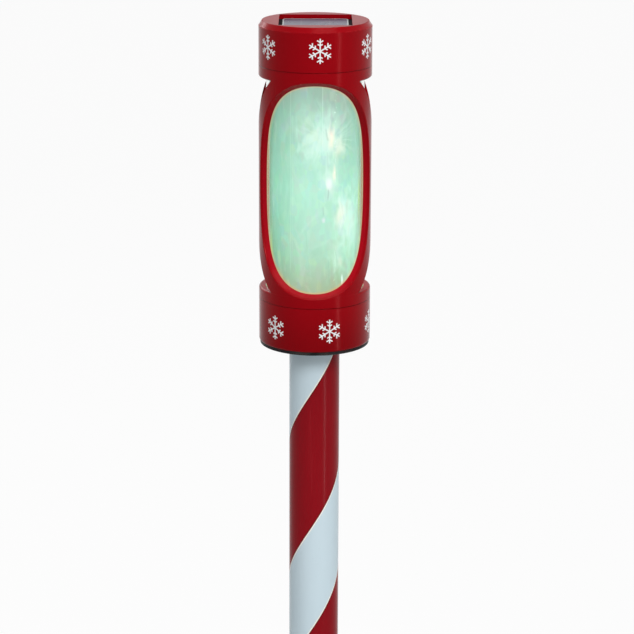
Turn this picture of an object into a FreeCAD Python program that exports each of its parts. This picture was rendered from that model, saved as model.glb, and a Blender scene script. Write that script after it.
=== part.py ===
import FreeCAD, Part
import math
import os

import Sketcher
from FreeCAD import Placement, Rotation, Vector

# Solar bollard light. Millimetres, +Z up, origin on the pole's axis at ground level.
# The front window faces -Y. Angles are in degrees, counted counter-clockwise seen from above.

SIZES = {
    # Clearances
    "slide_gap": 0.3,
    "fit_gap": 0.1,
    "cut_overrun": 1.0,
    # Ground spike
    "spike_length": 180.0,
    "blade_radius": 15.0,
    "blade_tip_radius": 1.5,
    "blade_thickness": 3.0,
    "flange_radius": 24.0,
    "flange_thickness": 4.0,
    "plug_length": 30.0,
    "plug_wall": 2.5,
    # Pole
    "pole_radius": 17.4,
    "pole_wall": 1.5,
    "lower_pole_length": 310.0,
    "upper_pole_length": 310.0,
    "coupler_length": 60.0,
    "coupler_wall": 2.0,
    # Base plate and its pole socket
    "base_radius": 37.5,
    "base_thickness": 2.1,
    "base_edge_round": 0.5,
    "base_rim_height": 3.0,
    "base_rim_width": 2.0,
    "socket_depth": 22.0,
    "socket_wall": 2.0,
    "socket_roof": 2.4,
    # Screws of the base plate
    "base_screw_circle": 28.0,
    "base_screw_head_radius": 2.8,
    "base_screw_head_height": 1.5,
    "base_screw_shank_radius": 1.25,
    "base_screw_length": 12.0,
    "base_boss_radius": 3.2,
    # Lower cap, upper cap and the windowed frame between them
    "cap_radius": 38.2,
    "cap_wall": 2.6,
    "lower_cap_height": 30.7,
    "lower_cap_round": 1.5,
    "foot_width": 4.8,
    "foot_height": 4.0,
    "deck_thickness": 2.4,
    "spigot_length": 3.4,
    "bead_height": 0.4,
    "bead_half_width": 0.8,
    "seam_round": 0.35,
    "frame_height": 160.5,
    "frame_wall": 4.7,
    "frame_ring_height": 7.7,
    "frame_ring_round": 1.4,
    "window_half_height": 70.8,
    "window_flare": 3.1,
    "window_lip": 0.8,
    "side_opening_depth": 35.3,
    "side_opening_half_width": 23.9,
    "side_opening_sag": 1.2,
    # Collar of the frame, with the grooves that the upper cap's lugs turn in
    "ledge_width": 0.7,
    "ledge_height": 2.4,
    "collar_height": 5.1,
    "lug_radius": 1.0,
    "lug_length": 1.4,
    "lug_height": 1.5,
    "cap_rise": 3.6,
    "seal_thickness": 1.0,
    # Tube, film and reflector
    "tube_gap": 0.3,
    "tube_wall": 1.6,
    "film_gap": 0.4,
    "film_thickness": 0.3,
    "reflector_thickness": 0.8,
    # Upper cap
    "upper_cap_height": 29.9,
    "bevel_width": 2.3,
    "bevel_height": 3.4,
    "recess_width": 49.0,
    "recess_depth": 4.1,
    "roof_thickness": 2.2,
    "panel_width": 44.2,
    "panel_thickness": 1.6,
    "panel_corner_radius": 3.2,
    "gasket_thickness": 1.0,
    "lead_hole_radius": 2.0,
    # Snowflakes
    "flake_reach": 8.3,
    "flake_stroke": 0.85,
    "flake_ink": 0.12,
    "inner_barb_junction": 3.7,
    "inner_barb_length": 1.9,
    "outer_barb_junction": 5.9,
    "outer_barb_length": 2.4,
    "upper_flake_drop": 15.2,
    "lower_flake_rise": 15.0,
    # Inner cover and its screws
    "cover_thickness": 2.0,
    "boss_circle": 28.5,
    "boss_radius": 2.5,
    "cover_screw_head_radius": 2.3,
    "cover_screw_head_height": 1.3,
    "cover_screw_shank_radius": 1.05,
    "cover_screw_length": 10.0,
    "screw_tip_length": 1.5,
    "screw_slot_width": 0.7,
    "screw_slot_depth": 0.6,
    # Battery, cradle and contacts
    "battery_radius": 7.25,
    "battery_body_length": 49.0,
    "battery_nub_radius": 2.75,
    "battery_nub_length": 1.5,
    "battery_offset": 16.0,
    "battery_lift": 0.4,
    "cradle_spacing": 28.0,
    "cradle_thickness": 2.0,
    "cradle_height": 5.5,
    "contact_thickness": 0.4,
    "contact_width": 9.0,
    "contact_height": 12.0,
    "contact_post_thickness": 1.5,
    "contact_button_radius": 2.0,
    # Circuit board, its parts and the switch
    "board_length": 38.0,
    "board_width": 13.0,
    "board_thickness": 1.2,
    "board_offset": 18.0,
    "board_post_radius": 1.6,
    "chip_length": 5.0,
    "chip_width": 4.0,
    "chip_height": 1.5,
    "coil_radius": 3.0,
    "coil_height": 4.5,
    "capacitor_radius": 2.0,
    "capacitor_height": 6.0,
    "switch_length": 8.6,
    "switch_width": 4.4,
    "switch_height": 3.0,
    "switch_wall": 0.6,
    "slider_length": 3.4,
    "stem_length": 2.0,
    "stem_width": 1.8,
    "thumb_length": 3.6,
    "thumb_width": 3.0,
    "thumb_drop": 2.2,
    "knob_travel": 2.4,
    # Lamps, their board and lens
    "led_radius": 2.5,
    "led_body_length": 5.1,
    "led_flange_radius": 2.9,
    "led_flange_height": 1.0,
    "led_circle": 3.6,
    "led_board_thickness": 1.2,
    "lens_bore": 6.8,
    "lens_wall": 1.2,
    "lens_lip_width": 0.6,
    "lens_lip_height": 1.6,
    "lens_floor": 1.2,
    "lens_floor_gap": 0.4,
    # Wires
    "wire_radius": 0.6,
    "wire_bend_radius": 2.0,
    "wire_spacing": 2.2,
    "wire_rise": 5.0,
    "wire_inset": 2.5,
    "wire_jog": 5.2,
    "led_line": 4.0,
}

# Angles and counts
FULL_TURN = 360
HALF_TURN = 180
BASE_SCREW_COUNT = 3
BASE_SCREW_TURN = 90
BOSS_COUNT = 4
LUG_COUNT = 3
LUG_REST_ANGLE = 20
CAP_TURN = 90
GROOVE_OVERTURN = 8
FLAKE_COUNT = 6
FLAKE_ARMS = 6
BARB_ANGLE = 60
UPPER_FLAKE_TURN = 4.8
LOWER_FLAKE_TURN = 15.6
WINDOW_HALF_ANGLE = 75.8
WINDOW_CORNER_SHARE = 2.22
WINDOW_POINTS = 64
LIP_STEPS = 3
LED_COUNT = 3
FRONT = -90
SLOT_REACH_SHARE = 0.6
COIL_PLACE_SHARE = 0.24
CAPACITOR_PLACE_SHARE = -0.26


document = FreeCAD.newDocument("solar_bollard_light")
sheet = document.addObject("Spreadsheet::Sheet", "sizes")
for row, (alias, number) in enumerate(SIZES.items(), start=1):
    sheet.set(f"A{row}", alias)
    sheet.set(f"B{row}", str(number))
    sheet.setAlias(f"B{row}", alias)
document.recompute()


class Size:
    """A length that keeps both its value and the sheet expression that gives it."""

    def __init__(self, value, text):
        self.value = value
        self.text = text

    def __add__(self, other):
        return Size(self.value + other.value, f"({self.text} + {other.text})")

    def __sub__(self, other):
        return Size(self.value - other.value, f"({self.text} - {other.text})")

    def __mul__(self, share):
        return Size(self.value * share, f"({self.text} * {share:.12f})")

    def __truediv__(self, parts):
        return Size(self.value / parts, f"({self.text} / {parts})")

    def __neg__(self):
        return Size(-self.value, f"(0 - {self.text})")


class Cells:
    """Gives the sheet's cells as sizes: mm.pole_radius is the cell named pole_radius."""

    def __getattr__(self, alias):
        return Size(float(getattr(sheet, alias)), f"sizes.{alias}")


mm = Cells()
ZERO = Size(0, "0")

# Heights above ground of the seams and seats, from the bottom up
head_base = mm.flange_thickness + mm.lower_pole_length + mm.upper_pole_length - mm.socket_depth
pole_joint = mm.flange_thickness + mm.lower_pole_length
base_top = head_base + mm.base_thickness
lower_seam = base_top + mm.lower_cap_height
deck_top = lower_seam - mm.spigot_length
upper_seam = lower_seam + mm.frame_height
frame_middle = (lower_seam + upper_seam) / 2
ledge = upper_seam - mm.ledge_height
collar_top = upper_seam + mm.collar_height
cover_bottom = collar_top + mm.seal_thickness
cover_top = cover_bottom + mm.cover_thickness
head_top = upper_seam + mm.upper_cap_height
recess_floor = head_top - mm.recess_depth
roof_bottom = recess_floor - mm.roof_thickness

# Radii that follow from the walls and clearances, from the outside in
pole_bore = mm.pole_radius - mm.pole_wall
cap_bore = mm.cap_radius - mm.cap_wall
foot_bore = mm.cap_radius - mm.foot_width
spigot_radius = cap_bore - mm.fit_gap
collar_radius = cap_bore - mm.slide_gap
frame_bore = mm.cap_radius - mm.frame_wall
tube_radius = frame_bore - mm.tube_gap
tube_bore = tube_radius - mm.tube_wall
film_radius = tube_bore - mm.film_gap
film_bore = film_radius - mm.film_thickness
collar_bore = tube_radius - mm.ledge_width
lug_tip = cap_bore - mm.lug_length
groove_floor = lug_tip - mm.slide_gap
lug_level = upper_seam + mm.lug_height

pieces = []


def piece(shape_object, label):
    """Names a finished piece and puts it on the list of files."""
    shape_object.Label = label
    pieces.append(shape_object)
    return shape_object


def bind(target, **sizes):
    """Binds properties of an object to the sheet."""
    for name, size in sizes.items():
        target.setExpression(name, size.text)


def place(target, across, along, up):
    """Binds the place of an object to the sheet."""
    for axis, size in zip("xyz", (across, along, up)):
        target.setExpression(f"Placement.Base.{axis}", size.text)


def cylinder(name, radius, low, high, across=ZERO, along=ZERO):
    """An upright cylinder between two heights."""
    part = document.addObject("Part::Cylinder", name)
    bind(part, Radius=radius, Height=high - low)
    place(part, across, along, low)
    return part


def box(name, low, high):
    """A box between two opposite corners."""
    part = document.addObject("Part::Box", name)
    spans = [end - start for start, end in zip(low, high)]
    bind(part, Length=spans[0], Width=spans[1], Height=spans[2])
    place(part, *low)
    return part


def centred_box(name, centre, half_length, half_width, low, high):
    """A box about a point in plan, between two heights."""
    across, along = centre
    low_corner = (across - half_length, along - half_width, low)
    high_corner = (across + half_length, along + half_width, high)
    return box(name, low_corner, high_corner)


def fused(name, parts):
    fusion = document.addObject("Part::MultiFuse", name)
    fusion.Shapes = parts
    fusion.Refine = True
    return fusion


def cut(name, base, tools):
    """Cuts one or more tools out of a base."""
    result = document.addObject("Part::Cut", name)
    result.Base = base
    result.Tool = tools[0] if len(tools) == 1 else fused(f"{name}_tools", tools)
    result.Refine = True
    return result


def shaped(name, shape):
    """An object whose shape is worked out here from the sheet's values."""
    feature = document.addObject("Part::Feature", name)
    feature.Shape = shape
    return feature


def ring_places(count, circle, first_angle):
    """Centres, as pairs of sizes, of features evenly spaced on a circle."""
    for number in range(count):
        angle = math.radians(first_angle + FULL_TURN * number / count)
        yield circle * math.cos(angle), circle * math.sin(angle)


def origin_plane(body, role):
    return next(plane for plane in body.Origin.OriginFeatures if plane.Role == role)


def outline(body, name, corners):
    """A closed outline of straight sides in the plane of the axis, its corners bound to the sheet."""
    sketch = body.newObject("Sketcher::SketchObject", name)
    sketch.AttachmentSupport = [(origin_plane(body, "XZ_Plane"), "")]
    sketch.MapMode = "FlatFace"
    points = [Vector(radius.value, height.value, 0) for radius, height in corners]
    for start, end in zip(points, points[1:] + points[:1]):
        sketch.addGeometry(Part.LineSegment(start, end), False)
    for side, corner in enumerate(corners):
        following = (side + 1) % len(corners)
        sketch.addConstraint(Sketcher.Constraint("Coincident", side, 2, following, 1))
        for direction, size in zip(("DistanceX", "DistanceY"), corner):
            number = sketch.addConstraint(Sketcher.Constraint(direction, -1, 1, side, 1, size.value))
            sketch.setExpression(f"Constraints[{number}]", size.text)
    return sketch


def turned(name, corners):
    """A body turned about the pole's axis from corners given as radius and height."""
    body = document.addObject("PartDesign::Body", name)
    sketch = outline(body, f"{name}_outline", corners)
    revolution = body.newObject("PartDesign::Revolution", f"{name}_turning")
    revolution.Profile = sketch
    revolution.ReferenceAxis = (sketch, ["V_Axis"])
    revolution.Angle = FULL_TURN
    document.recompute()
    return body


def round_rings(body, name, radius, rings):
    """Rounds the circular edges that lie at the given radii and heights."""
    base = body.Tip
    edges = []
    for number, edge in enumerate(base.Shape.Edges, start=1):
        curve = edge.Curve
        if not isinstance(curve, Part.Circle):
            continue
        for ring_radius, height in rings:
            same_radius = math.isclose(curve.Radius, ring_radius.value, abs_tol=Part.Precision.confusion())
            same_height = math.isclose(curve.Center.z, height.value, abs_tol=Part.Precision.confusion())
            if same_radius and same_height:
                edges.append(f"Edge{number}")
    fillet = body.newObject("PartDesign::Fillet", name)
    fillet.Base = (base, edges)
    bind(fillet, Radius=radius)
    document.recompute()


def tube(name, outer, inner, low, high):
    return turned(name, [(inner, low), (outer, low), (outer, high), (inner, high)])


def ground_spike():
    """Crossed blades that taper to a tip, under a flange and a hollow plug for the pole."""
    half = mm.blade_thickness / 2
    cone = document.addObject("Part::Cone", "blade_taper")
    bind(cone, Radius1=mm.blade_tip_radius, Radius2=mm.blade_radius, Height=mm.spike_length)
    place(cone, ZERO, ZERO, -mm.spike_length)
    centre = (ZERO, ZERO)
    blade_across = centred_box("blade_across", centre, mm.blade_radius, half, -mm.spike_length, ZERO)
    blade_along = centred_box("blade_along", centre, half, mm.blade_radius, -mm.spike_length, ZERO)
    blades = document.addObject("Part::MultiCommon", "blades")
    blades.Shapes = [cone, fused("blade_cross", [blade_across, blade_along])]
    flange = cylinder("spike_flange", mm.flange_radius, ZERO, mm.flange_thickness)
    plug_radius = pole_bore - mm.slide_gap
    plug_top = mm.flange_thickness + mm.plug_length
    plug = cylinder("pole_plug", plug_radius, mm.flange_thickness, plug_top)
    hollow = cylinder(
        "plug_hollow", plug_radius - mm.plug_wall, mm.flange_thickness, plug_top + mm.cut_overrun
    )
    spike = cut("spike_body", fused("spike_solid", [blades, flange, plug]), [hollow])
    piece(spike, "ground_spike")


def pole():
    """Two tubes joined by a sleeve that is fixed in the lower one."""
    head_stop = head_base + mm.socket_depth
    lower = tube("lower_pole_body", mm.pole_radius, pole_bore, mm.flange_thickness, pole_joint)
    piece(lower, "lower_pole")
    upper = tube("upper_pole_body", mm.pole_radius, pole_bore, pole_joint, head_stop)
    piece(upper, "upper_pole")
    sleeve = turned("coupler_body", [
        (pole_bore - mm.slide_gap - mm.coupler_wall, pole_joint - mm.coupler_length / 2),
        (pole_bore - mm.fit_gap, pole_joint - mm.coupler_length / 2),
        (pole_bore - mm.fit_gap, pole_joint),
        (pole_bore - mm.slide_gap, pole_joint),
        (pole_bore - mm.slide_gap, pole_joint + mm.coupler_length / 2),
        (pole_bore - mm.slide_gap - mm.coupler_wall, pole_joint + mm.coupler_length / 2),
    ])
    piece(sleeve, "pole_coupler")


def base_plate():
    """Disc with an upright socket for the pole, a locating rim and counterbored screw holes."""
    socket_bore = mm.pole_radius + mm.slide_gap
    socket_radius = socket_bore + mm.socket_wall
    socket_top = head_base + mm.socket_depth
    rim_radius = foot_bore - mm.fit_gap
    rim_top = base_top + mm.base_rim_height
    body = turned("base_body", [
        (socket_bore, head_base),
        (mm.base_radius, head_base),
        (mm.base_radius, base_top),
        (rim_radius, base_top),
        (rim_radius, rim_top),
        (rim_radius - mm.base_rim_width, rim_top),
        (rim_radius - mm.base_rim_width, base_top),
        (socket_radius, base_top),
        (socket_radius, socket_top + mm.socket_roof),
        (ZERO, socket_top + mm.socket_roof),
        (ZERO, socket_top),
        (socket_bore, socket_top),
    ])
    round_rings(body, "base_edge", mm.base_edge_round, [(mm.base_radius, head_base)])
    holes = []
    counterbore = mm.base_screw_head_radius + mm.slide_gap
    clear_hole = mm.base_screw_shank_radius + mm.fit_gap
    low = head_base - mm.cut_overrun
    seat = head_base + mm.base_screw_head_height
    high = base_top + mm.cut_overrun
    places = ring_places(BASE_SCREW_COUNT, mm.base_screw_circle, BASE_SCREW_TURN)
    for number, (across, along) in enumerate(places):
        holes.append(cylinder(f"counterbore_{number}", counterbore, low, seat, across, along))
        holes.append(cylinder(f"clear_hole_{number}", clear_hole, low, high, across, along))
    piece(cut("base_drilled", body, holes), "base_plate")


def screw(head_radius, head_height, shank_radius, length):
    """A pan-head screw with a cross slot, its head's seat at the origin and its shank upwards."""
    head = Part.makeCylinder(head_radius, head_height, Vector(0, 0, -head_height))
    straight = length - mm.screw_tip_length.value
    shank = Part.makeCylinder(shank_radius, straight)
    tip_radius = mm.screw_slot_width.value / 2
    tip = Part.makeCone(shank_radius, tip_radius, mm.screw_tip_length.value, Vector(0, 0, straight))
    slot_width = mm.screw_slot_width.value
    depth = mm.screw_slot_depth.value
    reach = head_radius * SLOT_REACH_SHARE
    across = Part.makeBox(2 * reach, slot_width, depth, Vector(-reach, -slot_width / 2, -head_height))
    along = Part.makeBox(slot_width, 2 * reach, depth, Vector(-slot_width / 2, -reach, -head_height))
    return head.fuse([shank, tip]).removeSplitter().cut(across.fuse(along))


def screw_group(name, screw_shape, places, seat):
    """One group of equal screws, their seats at one height."""
    copies = []
    for across, along in places:
        copy = screw_shape.copy()
        copy.Placement = Placement(Vector(across.value, along.value, seat.value), Rotation())
        copies.append(copy)
    return shaped(name, Part.makeCompound(copies))


def base_screws():
    shape = screw(
        mm.base_screw_head_radius.value,
        mm.base_screw_head_height.value,
        mm.base_screw_shank_radius.value,
        mm.base_screw_length.value,
    )
    places = ring_places(BASE_SCREW_COUNT, mm.base_screw_circle, BASE_SCREW_TURN)
    seat = head_base + mm.base_screw_head_height
    piece(screw_group("base_screw_group", shape, places, seat), "base_screws")


def bottom_cap():
    """Cup turned upside down: its deck carries frame and tube, its bosses take the base screws."""
    deck_bottom = deck_top - mm.deck_thickness
    groove_middle = (deck_top + lower_seam) / 2
    groove_depth = mm.bead_height + mm.fit_gap
    groove_half = mm.bead_half_width + mm.fit_gap
    body = turned("bottom_cap_shell", [
        (foot_bore, base_top),
        (mm.cap_radius, base_top),
        (mm.cap_radius, lower_seam),
        (cap_bore, lower_seam),
        (cap_bore, groove_middle + groove_half),
        (cap_bore + groove_depth, groove_middle),
        (cap_bore, groove_middle - groove_half),
        (cap_bore, deck_top),
        (ZERO, deck_top),
        (ZERO, deck_bottom),
        (cap_bore, deck_bottom),
        (cap_bore, base_top + mm.foot_height),
        (foot_bore, base_top + mm.foot_height),
    ])
    round_rings(body, "lower_cap_foot", mm.lower_cap_round, [(mm.cap_radius, base_top)])
    round_rings(body, "lower_cap_lip", mm.seam_round, [(mm.cap_radius, lower_seam)])
    bosses = []
    pilots = []
    boss_radius = mm.base_boss_radius
    boss_top = deck_top - mm.deck_thickness / 2
    pilot_radius = mm.base_screw_shank_radius + mm.fit_gap / 2
    pilot_low = base_top - mm.cut_overrun
    pilot_top = head_base + mm.base_screw_head_height + mm.base_screw_length + mm.cut_overrun
    places = ring_places(BASE_SCREW_COUNT, mm.base_screw_circle, BASE_SCREW_TURN)
    for number, (across, along) in enumerate(places):
        bosses.append(cylinder(f"base_boss_{number}", boss_radius, base_top, boss_top, across, along))
        pilots.append(cylinder(f"base_pilot_{number}", pilot_radius, pilot_low, pilot_top, across, along))
    piece(cut("bottom_cap_drilled", fused("bottom_cap_bossed", [body] + bosses), pilots), "bottom_cap")


def window_curve(radius, spread):
    """The window's outline as a closed curve on a cylinder about the axis, all round it wider by the spread."""
    depth = min(radius, (mm.cap_radius - mm.window_lip).value) - frame_bore.value
    flare = mm.window_flare.value * depth / mm.frame_wall.value
    half_height = mm.window_half_height.value + flare + spread
    half_angle = math.radians(WINDOW_HALF_ANGLE) + spread / radius
    points = []
    for number in range(WINDOW_POINTS):
        turn = math.radians(FULL_TURN * number / WINDOW_POINTS)
        across = math.copysign(abs(math.cos(turn)) ** (2 / WINDOW_CORNER_SHARE), math.cos(turn))
        up = math.copysign(abs(math.sin(turn)) ** (2 / WINDOW_CORNER_SHARE), math.sin(turn))
        azimuth = half_angle * across
        height = frame_middle.value + half_height * up
        points.append(Vector(radius * math.sin(azimuth), -radius * math.cos(azimuth), height))
    curve = Part.BSplineCurve()
    curve.interpolate(Points=points, PeriodicFlag=True)
    return Part.Wire(curve.toShape())


def without_window(tube_shape, angle):
    """Parts a window's plug from the tube with a flared skin, rounded at the outside, and keeps the rest."""
    outside = mm.cap_radius.value
    lip = mm.window_lip.value
    overrun = mm.cut_overrun.value
    curves = [window_curve(frame_bore.value - overrun, 0)]
    for step in range(LIP_STEPS):
        turn = math.pi / 2 * step / LIP_STEPS
        radius = outside - lip * (1 - math.sin(turn))
        spread = lip * (1 - math.cos(turn))
        curves.append(window_curve(radius, spread))
    slope = (lip - spread) / (outside - radius)
    curves.append(window_curve(outside + overrun, lip + overrun * slope))
    rim = Part.makeLoft(curves, False, True)
    rim.rotate(Vector(0, 0, 0), Vector(0, 0, 1), angle)
    parted = tube_shape.generalFuse([rim])[0]
    return max(parted.Solids, key=lambda solid: solid.Volume)


def side_opening(direction):
    """Cutter for the two side openings above or below the middle: a V that widens to the end ring."""
    middle = frame_middle.value
    ring_edge = middle + direction * (mm.frame_height.value / 2 - mm.frame_ring_height.value)
    tip = ring_edge - direction * mm.side_opening_depth.value
    half_width = mm.side_opening_half_width.value
    reach = mm.cap_radius.value + mm.cut_overrun.value
    beyond = ring_edge + direction * (mm.frame_ring_round.value + mm.cut_overrun.value)

    def wall(side):
        """Start, middle and end of one slanted edge, bulged towards the ring."""
        start = Vector(-reach, 0, tip)
        end = Vector(-reach, side * half_width, ring_edge)
        run = end - start
        bulge = Vector(0, -side * mm.side_opening_depth.value, direction * half_width).normalize()
        return start, start + run / 2 + bulge * mm.side_opening_sag.value, end

    left = wall(-1)
    right = wall(1)
    left_top = Vector(-reach, -half_width, beyond)
    right_top = Vector(-reach, half_width, beyond)
    edges = [
        Part.Arc(*left).toShape(),
        Part.LineSegment(left[2], left_top).toShape(),
        Part.LineSegment(left_top, right_top).toShape(),
        Part.LineSegment(right_top, right[2]).toShape(),
        Part.Arc(*right[::-1]).toShape(),
    ]
    prism = Part.Face(Part.Wire(edges)).extrude(Vector(2 * reach, 0, 0))
    return prism.common(ring_cutter(ring_edge, tip, direction))


def ring_cutter(ring_edge, tip, direction):
    """Turned cutter that leaves the end ring with a rounded shoulder."""
    rounding = mm.frame_ring_round.value
    radius = mm.cap_radius.value
    outside = radius + mm.cut_overrun.value
    shoulder = ring_edge + direction * rounding
    half_way = rounding / math.sqrt(2)
    bend = Vector(radius - rounding + half_way, 0, shoulder - direction * half_way)
    far = Vector(outside, 0, tip - direction * mm.cut_overrun.value)
    near = Vector(frame_bore.value - mm.cut_overrun.value, 0, far.z)
    seat = Vector(near.x, 0, ring_edge)
    start = Vector(radius - rounding, 0, ring_edge)
    end = Vector(radius, 0, shoulder)
    corner = Vector(outside, 0, shoulder)
    edges = [
        Part.LineSegment(near, seat).toShape(),
        Part.LineSegment(seat, start).toShape(),
        Part.Arc(start, bend, end).toShape(),
        Part.LineSegment(end, corner).toShape(),
        Part.LineSegment(corner, far).toShape(),
        Part.LineSegment(far, near).toShape(),
    ]
    return Part.Face(Part.Wire(edges)).revolve(Vector(0, 0, 0), Vector(0, 0, 1), FULL_TURN)


def lug_groove(angle):
    """Cutter for one groove: it climbs as the cap turns and comes out at the collar's top."""
    half = (mm.lug_radius + mm.slide_gap).value
    outside = (collar_radius + mm.cut_overrun).value
    lead = mm.cap_rise.value * FULL_TURN / CAP_TURN
    climb = mm.cap_rise.value * (1 + GROOVE_OVERTURN / CAP_TURN)
    path = Part.Wire(Part.makeHelix(lead, climb, outside).Edges)
    path.translate(Vector(0, 0, lug_level.value))
    corners = [
        Vector(groove_floor.value, 0, lug_level.value - half),
        Vector(outside, 0, lug_level.value - half),
        Vector(outside, 0, lug_level.value + half),
        Vector(groove_floor.value, 0, lug_level.value + half),
    ]
    profile = Part.makePolygon(corners + corners[:1])
    groove = path.makePipeShell([profile], True, True)
    end = Part.makeCylinder(
        half, outside - groove_floor.value, Vector(groove_floor.value, 0, lug_level.value), Vector(1, 0, 0)
    )
    cutter = groove.fuse(end)
    cutter.rotate(Vector(0, 0, 0), Vector(0, 0, 1), angle)
    return cutter


def window_frame():
    """Tube with a window front and back, side openings, a snap bead below and a grooved collar above."""
    bead_middle = (deck_top + lower_seam) / 2
    blank = turned("frame_blank", [
        (frame_bore, deck_top + mm.fit_gap),
        (spigot_radius, deck_top + mm.fit_gap),
        (spigot_radius, bead_middle - mm.bead_half_width),
        (spigot_radius + mm.bead_height, bead_middle),
        (spigot_radius, bead_middle + mm.bead_half_width),
        (spigot_radius, lower_seam),
        (mm.cap_radius, lower_seam),
        (mm.cap_radius, upper_seam),
        (collar_radius, upper_seam),
        (collar_radius, collar_top),
        (collar_bore, collar_top),
        (collar_bore, ledge),
        (frame_bore, ledge),
    ])
    lips = [(mm.cap_radius, lower_seam), (mm.cap_radius, upper_seam)]
    round_rings(blank, "frame_lips", mm.seam_round, lips)
    shape = blank.Shape
    for angle in (0, HALF_TURN):
        shape = without_window(shape, angle)
    cutters = [side_opening(direction) for direction in (-1, 1)]
    for number in range(LUG_COUNT):
        cutters.append(lug_groove(LUG_REST_ANGLE + FULL_TURN * number / LUG_COUNT))
    piece(shaped("frame_cut_out", shape.cut(cutters)), "window_frame")


def tube_film_and_reflector():
    """Clear tube between the deck and the frame's ledge, the film inside it and a disc on the deck."""
    low = deck_top + mm.fit_gap
    high = ledge - mm.fit_gap
    piece(tube("tube_body", tube_radius, tube_bore, low, high), "diffuser_tube")
    piece(tube("film_body", film_radius, film_bore, low, high), "film_liner")
    disc_top = low + mm.reflector_thickness
    piece(cylinder("reflector_body", film_bore - mm.film_gap, low, disc_top), "reflector_disc")


def cap_seal():
    outer = collar_radius - mm.fit_gap
    inner = collar_bore + mm.fit_gap
    piece(tube("seal_body", outer, inner, collar_top, cover_bottom), "cap_seal")


def solar_cap():
    """Upper cap with a square recess for the panel, three lugs inside its skirt and four bosses."""
    body = turned("upper_cap_shell", [
        (cap_bore, upper_seam),
        (mm.cap_radius, upper_seam),
        (mm.cap_radius, head_top - mm.bevel_height),
        (mm.cap_radius - mm.bevel_width, head_top),
        (ZERO, head_top),
        (ZERO, roof_bottom),
        (cap_bore, roof_bottom),
    ])
    round_rings(body, "upper_cap_lip", mm.seam_round, [(mm.cap_radius, upper_seam)])
    additions = [body]
    pilots = []
    boss_top = roof_bottom + mm.roof_thickness / 2
    pilot_radius = mm.cover_screw_shank_radius + mm.fit_gap / 2
    pilot_low = cover_top - mm.cut_overrun
    pilot_top = cover_bottom + mm.cover_screw_length + mm.cut_overrun
    places = ring_places(BOSS_COUNT, mm.boss_circle, 0)
    for number, (across, along) in enumerate(places):
        additions.append(cylinder(f"cap_boss_{number}", mm.boss_radius, cover_top, boss_top, across, along))
        pilots.append(cylinder(f"cap_pilot_{number}", pilot_radius, pilot_low, pilot_top, across, along))
    for number in range(LUG_COUNT):
        additions.append(lug(number))
    half = mm.recess_width / 2
    high = head_top + mm.cut_overrun
    recess = centred_box("panel_recess", (ZERO, ZERO), half, half, recess_floor, high)
    hole_low = roof_bottom - mm.cut_overrun
    hole_high = recess_floor + mm.cut_overrun
    lead_hole = cylinder("lead_hole", mm.lead_hole_radius, hole_low, hole_high, ZERO, -mm.board_offset / 2)
    tools = [recess, lead_hole] + pilots
    piece(cut("upper_cap_cut_out", fused("upper_cap_bossed", additions), tools), "solar_cap")


def lug(number):
    """A round lug that points inwards from the cap's skirt."""
    angle = LUG_REST_ANGLE + FULL_TURN * number / LUG_COUNT
    part = document.addObject("Part::Cylinder", f"lug_{number}")
    bind(part, Radius=mm.lug_radius, Height=mm.lug_length + mm.cap_wall / 2)
    outwards = Rotation(Vector(0, 0, 1), Vector(1, 0, 0))
    part.Placement = Placement(Vector(), Rotation(Vector(0, 0, 1), angle) * outwards)
    turn = math.radians(angle)
    place(part, lug_tip * math.cos(turn), lug_tip * math.sin(turn), lug_level)
    return part


def rounded_plate(name, width, corner, low, high):
    """A square plate with rounded upright corners."""
    half = width / 2
    plate = centred_box(f"{name}_blank", (ZERO, ZERO), half, half, low, high)
    document.recompute()
    upright = [
        number for number, edge in enumerate(plate.Shape.Edges, start=1)
        if not math.isclose(edge.Vertexes[0].Z, edge.Vertexes[-1].Z)
    ]
    fillet = document.addObject("Part::Fillet", name)
    fillet.Base = plate
    fillet.Edges = [(number, corner.value, corner.value) for number in upright]
    return fillet


def solar_panel():
    """The panel lies on the recess floor inside a thinner gasket that fills the recess round it."""
    corner = mm.panel_corner_radius
    top = recess_floor + mm.panel_thickness
    piece(rounded_plate("panel_plate", mm.panel_width, corner, recess_floor, top), "solar_panel")
    half = mm.recess_width / 2 - mm.fit_gap
    gasket_top = recess_floor + mm.gasket_thickness
    band = centred_box("gasket_blank", (ZERO, ZERO), half, half, recess_floor, gasket_top)
    hole = rounded_plate(
        "gasket_hole", mm.panel_width + mm.fit_gap * 2, corner + mm.fit_gap,
        recess_floor - mm.cut_overrun, gasket_top + mm.cut_overrun,
    )
    piece(cut("gasket_band", band, [hole]), "panel_gasket")


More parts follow.
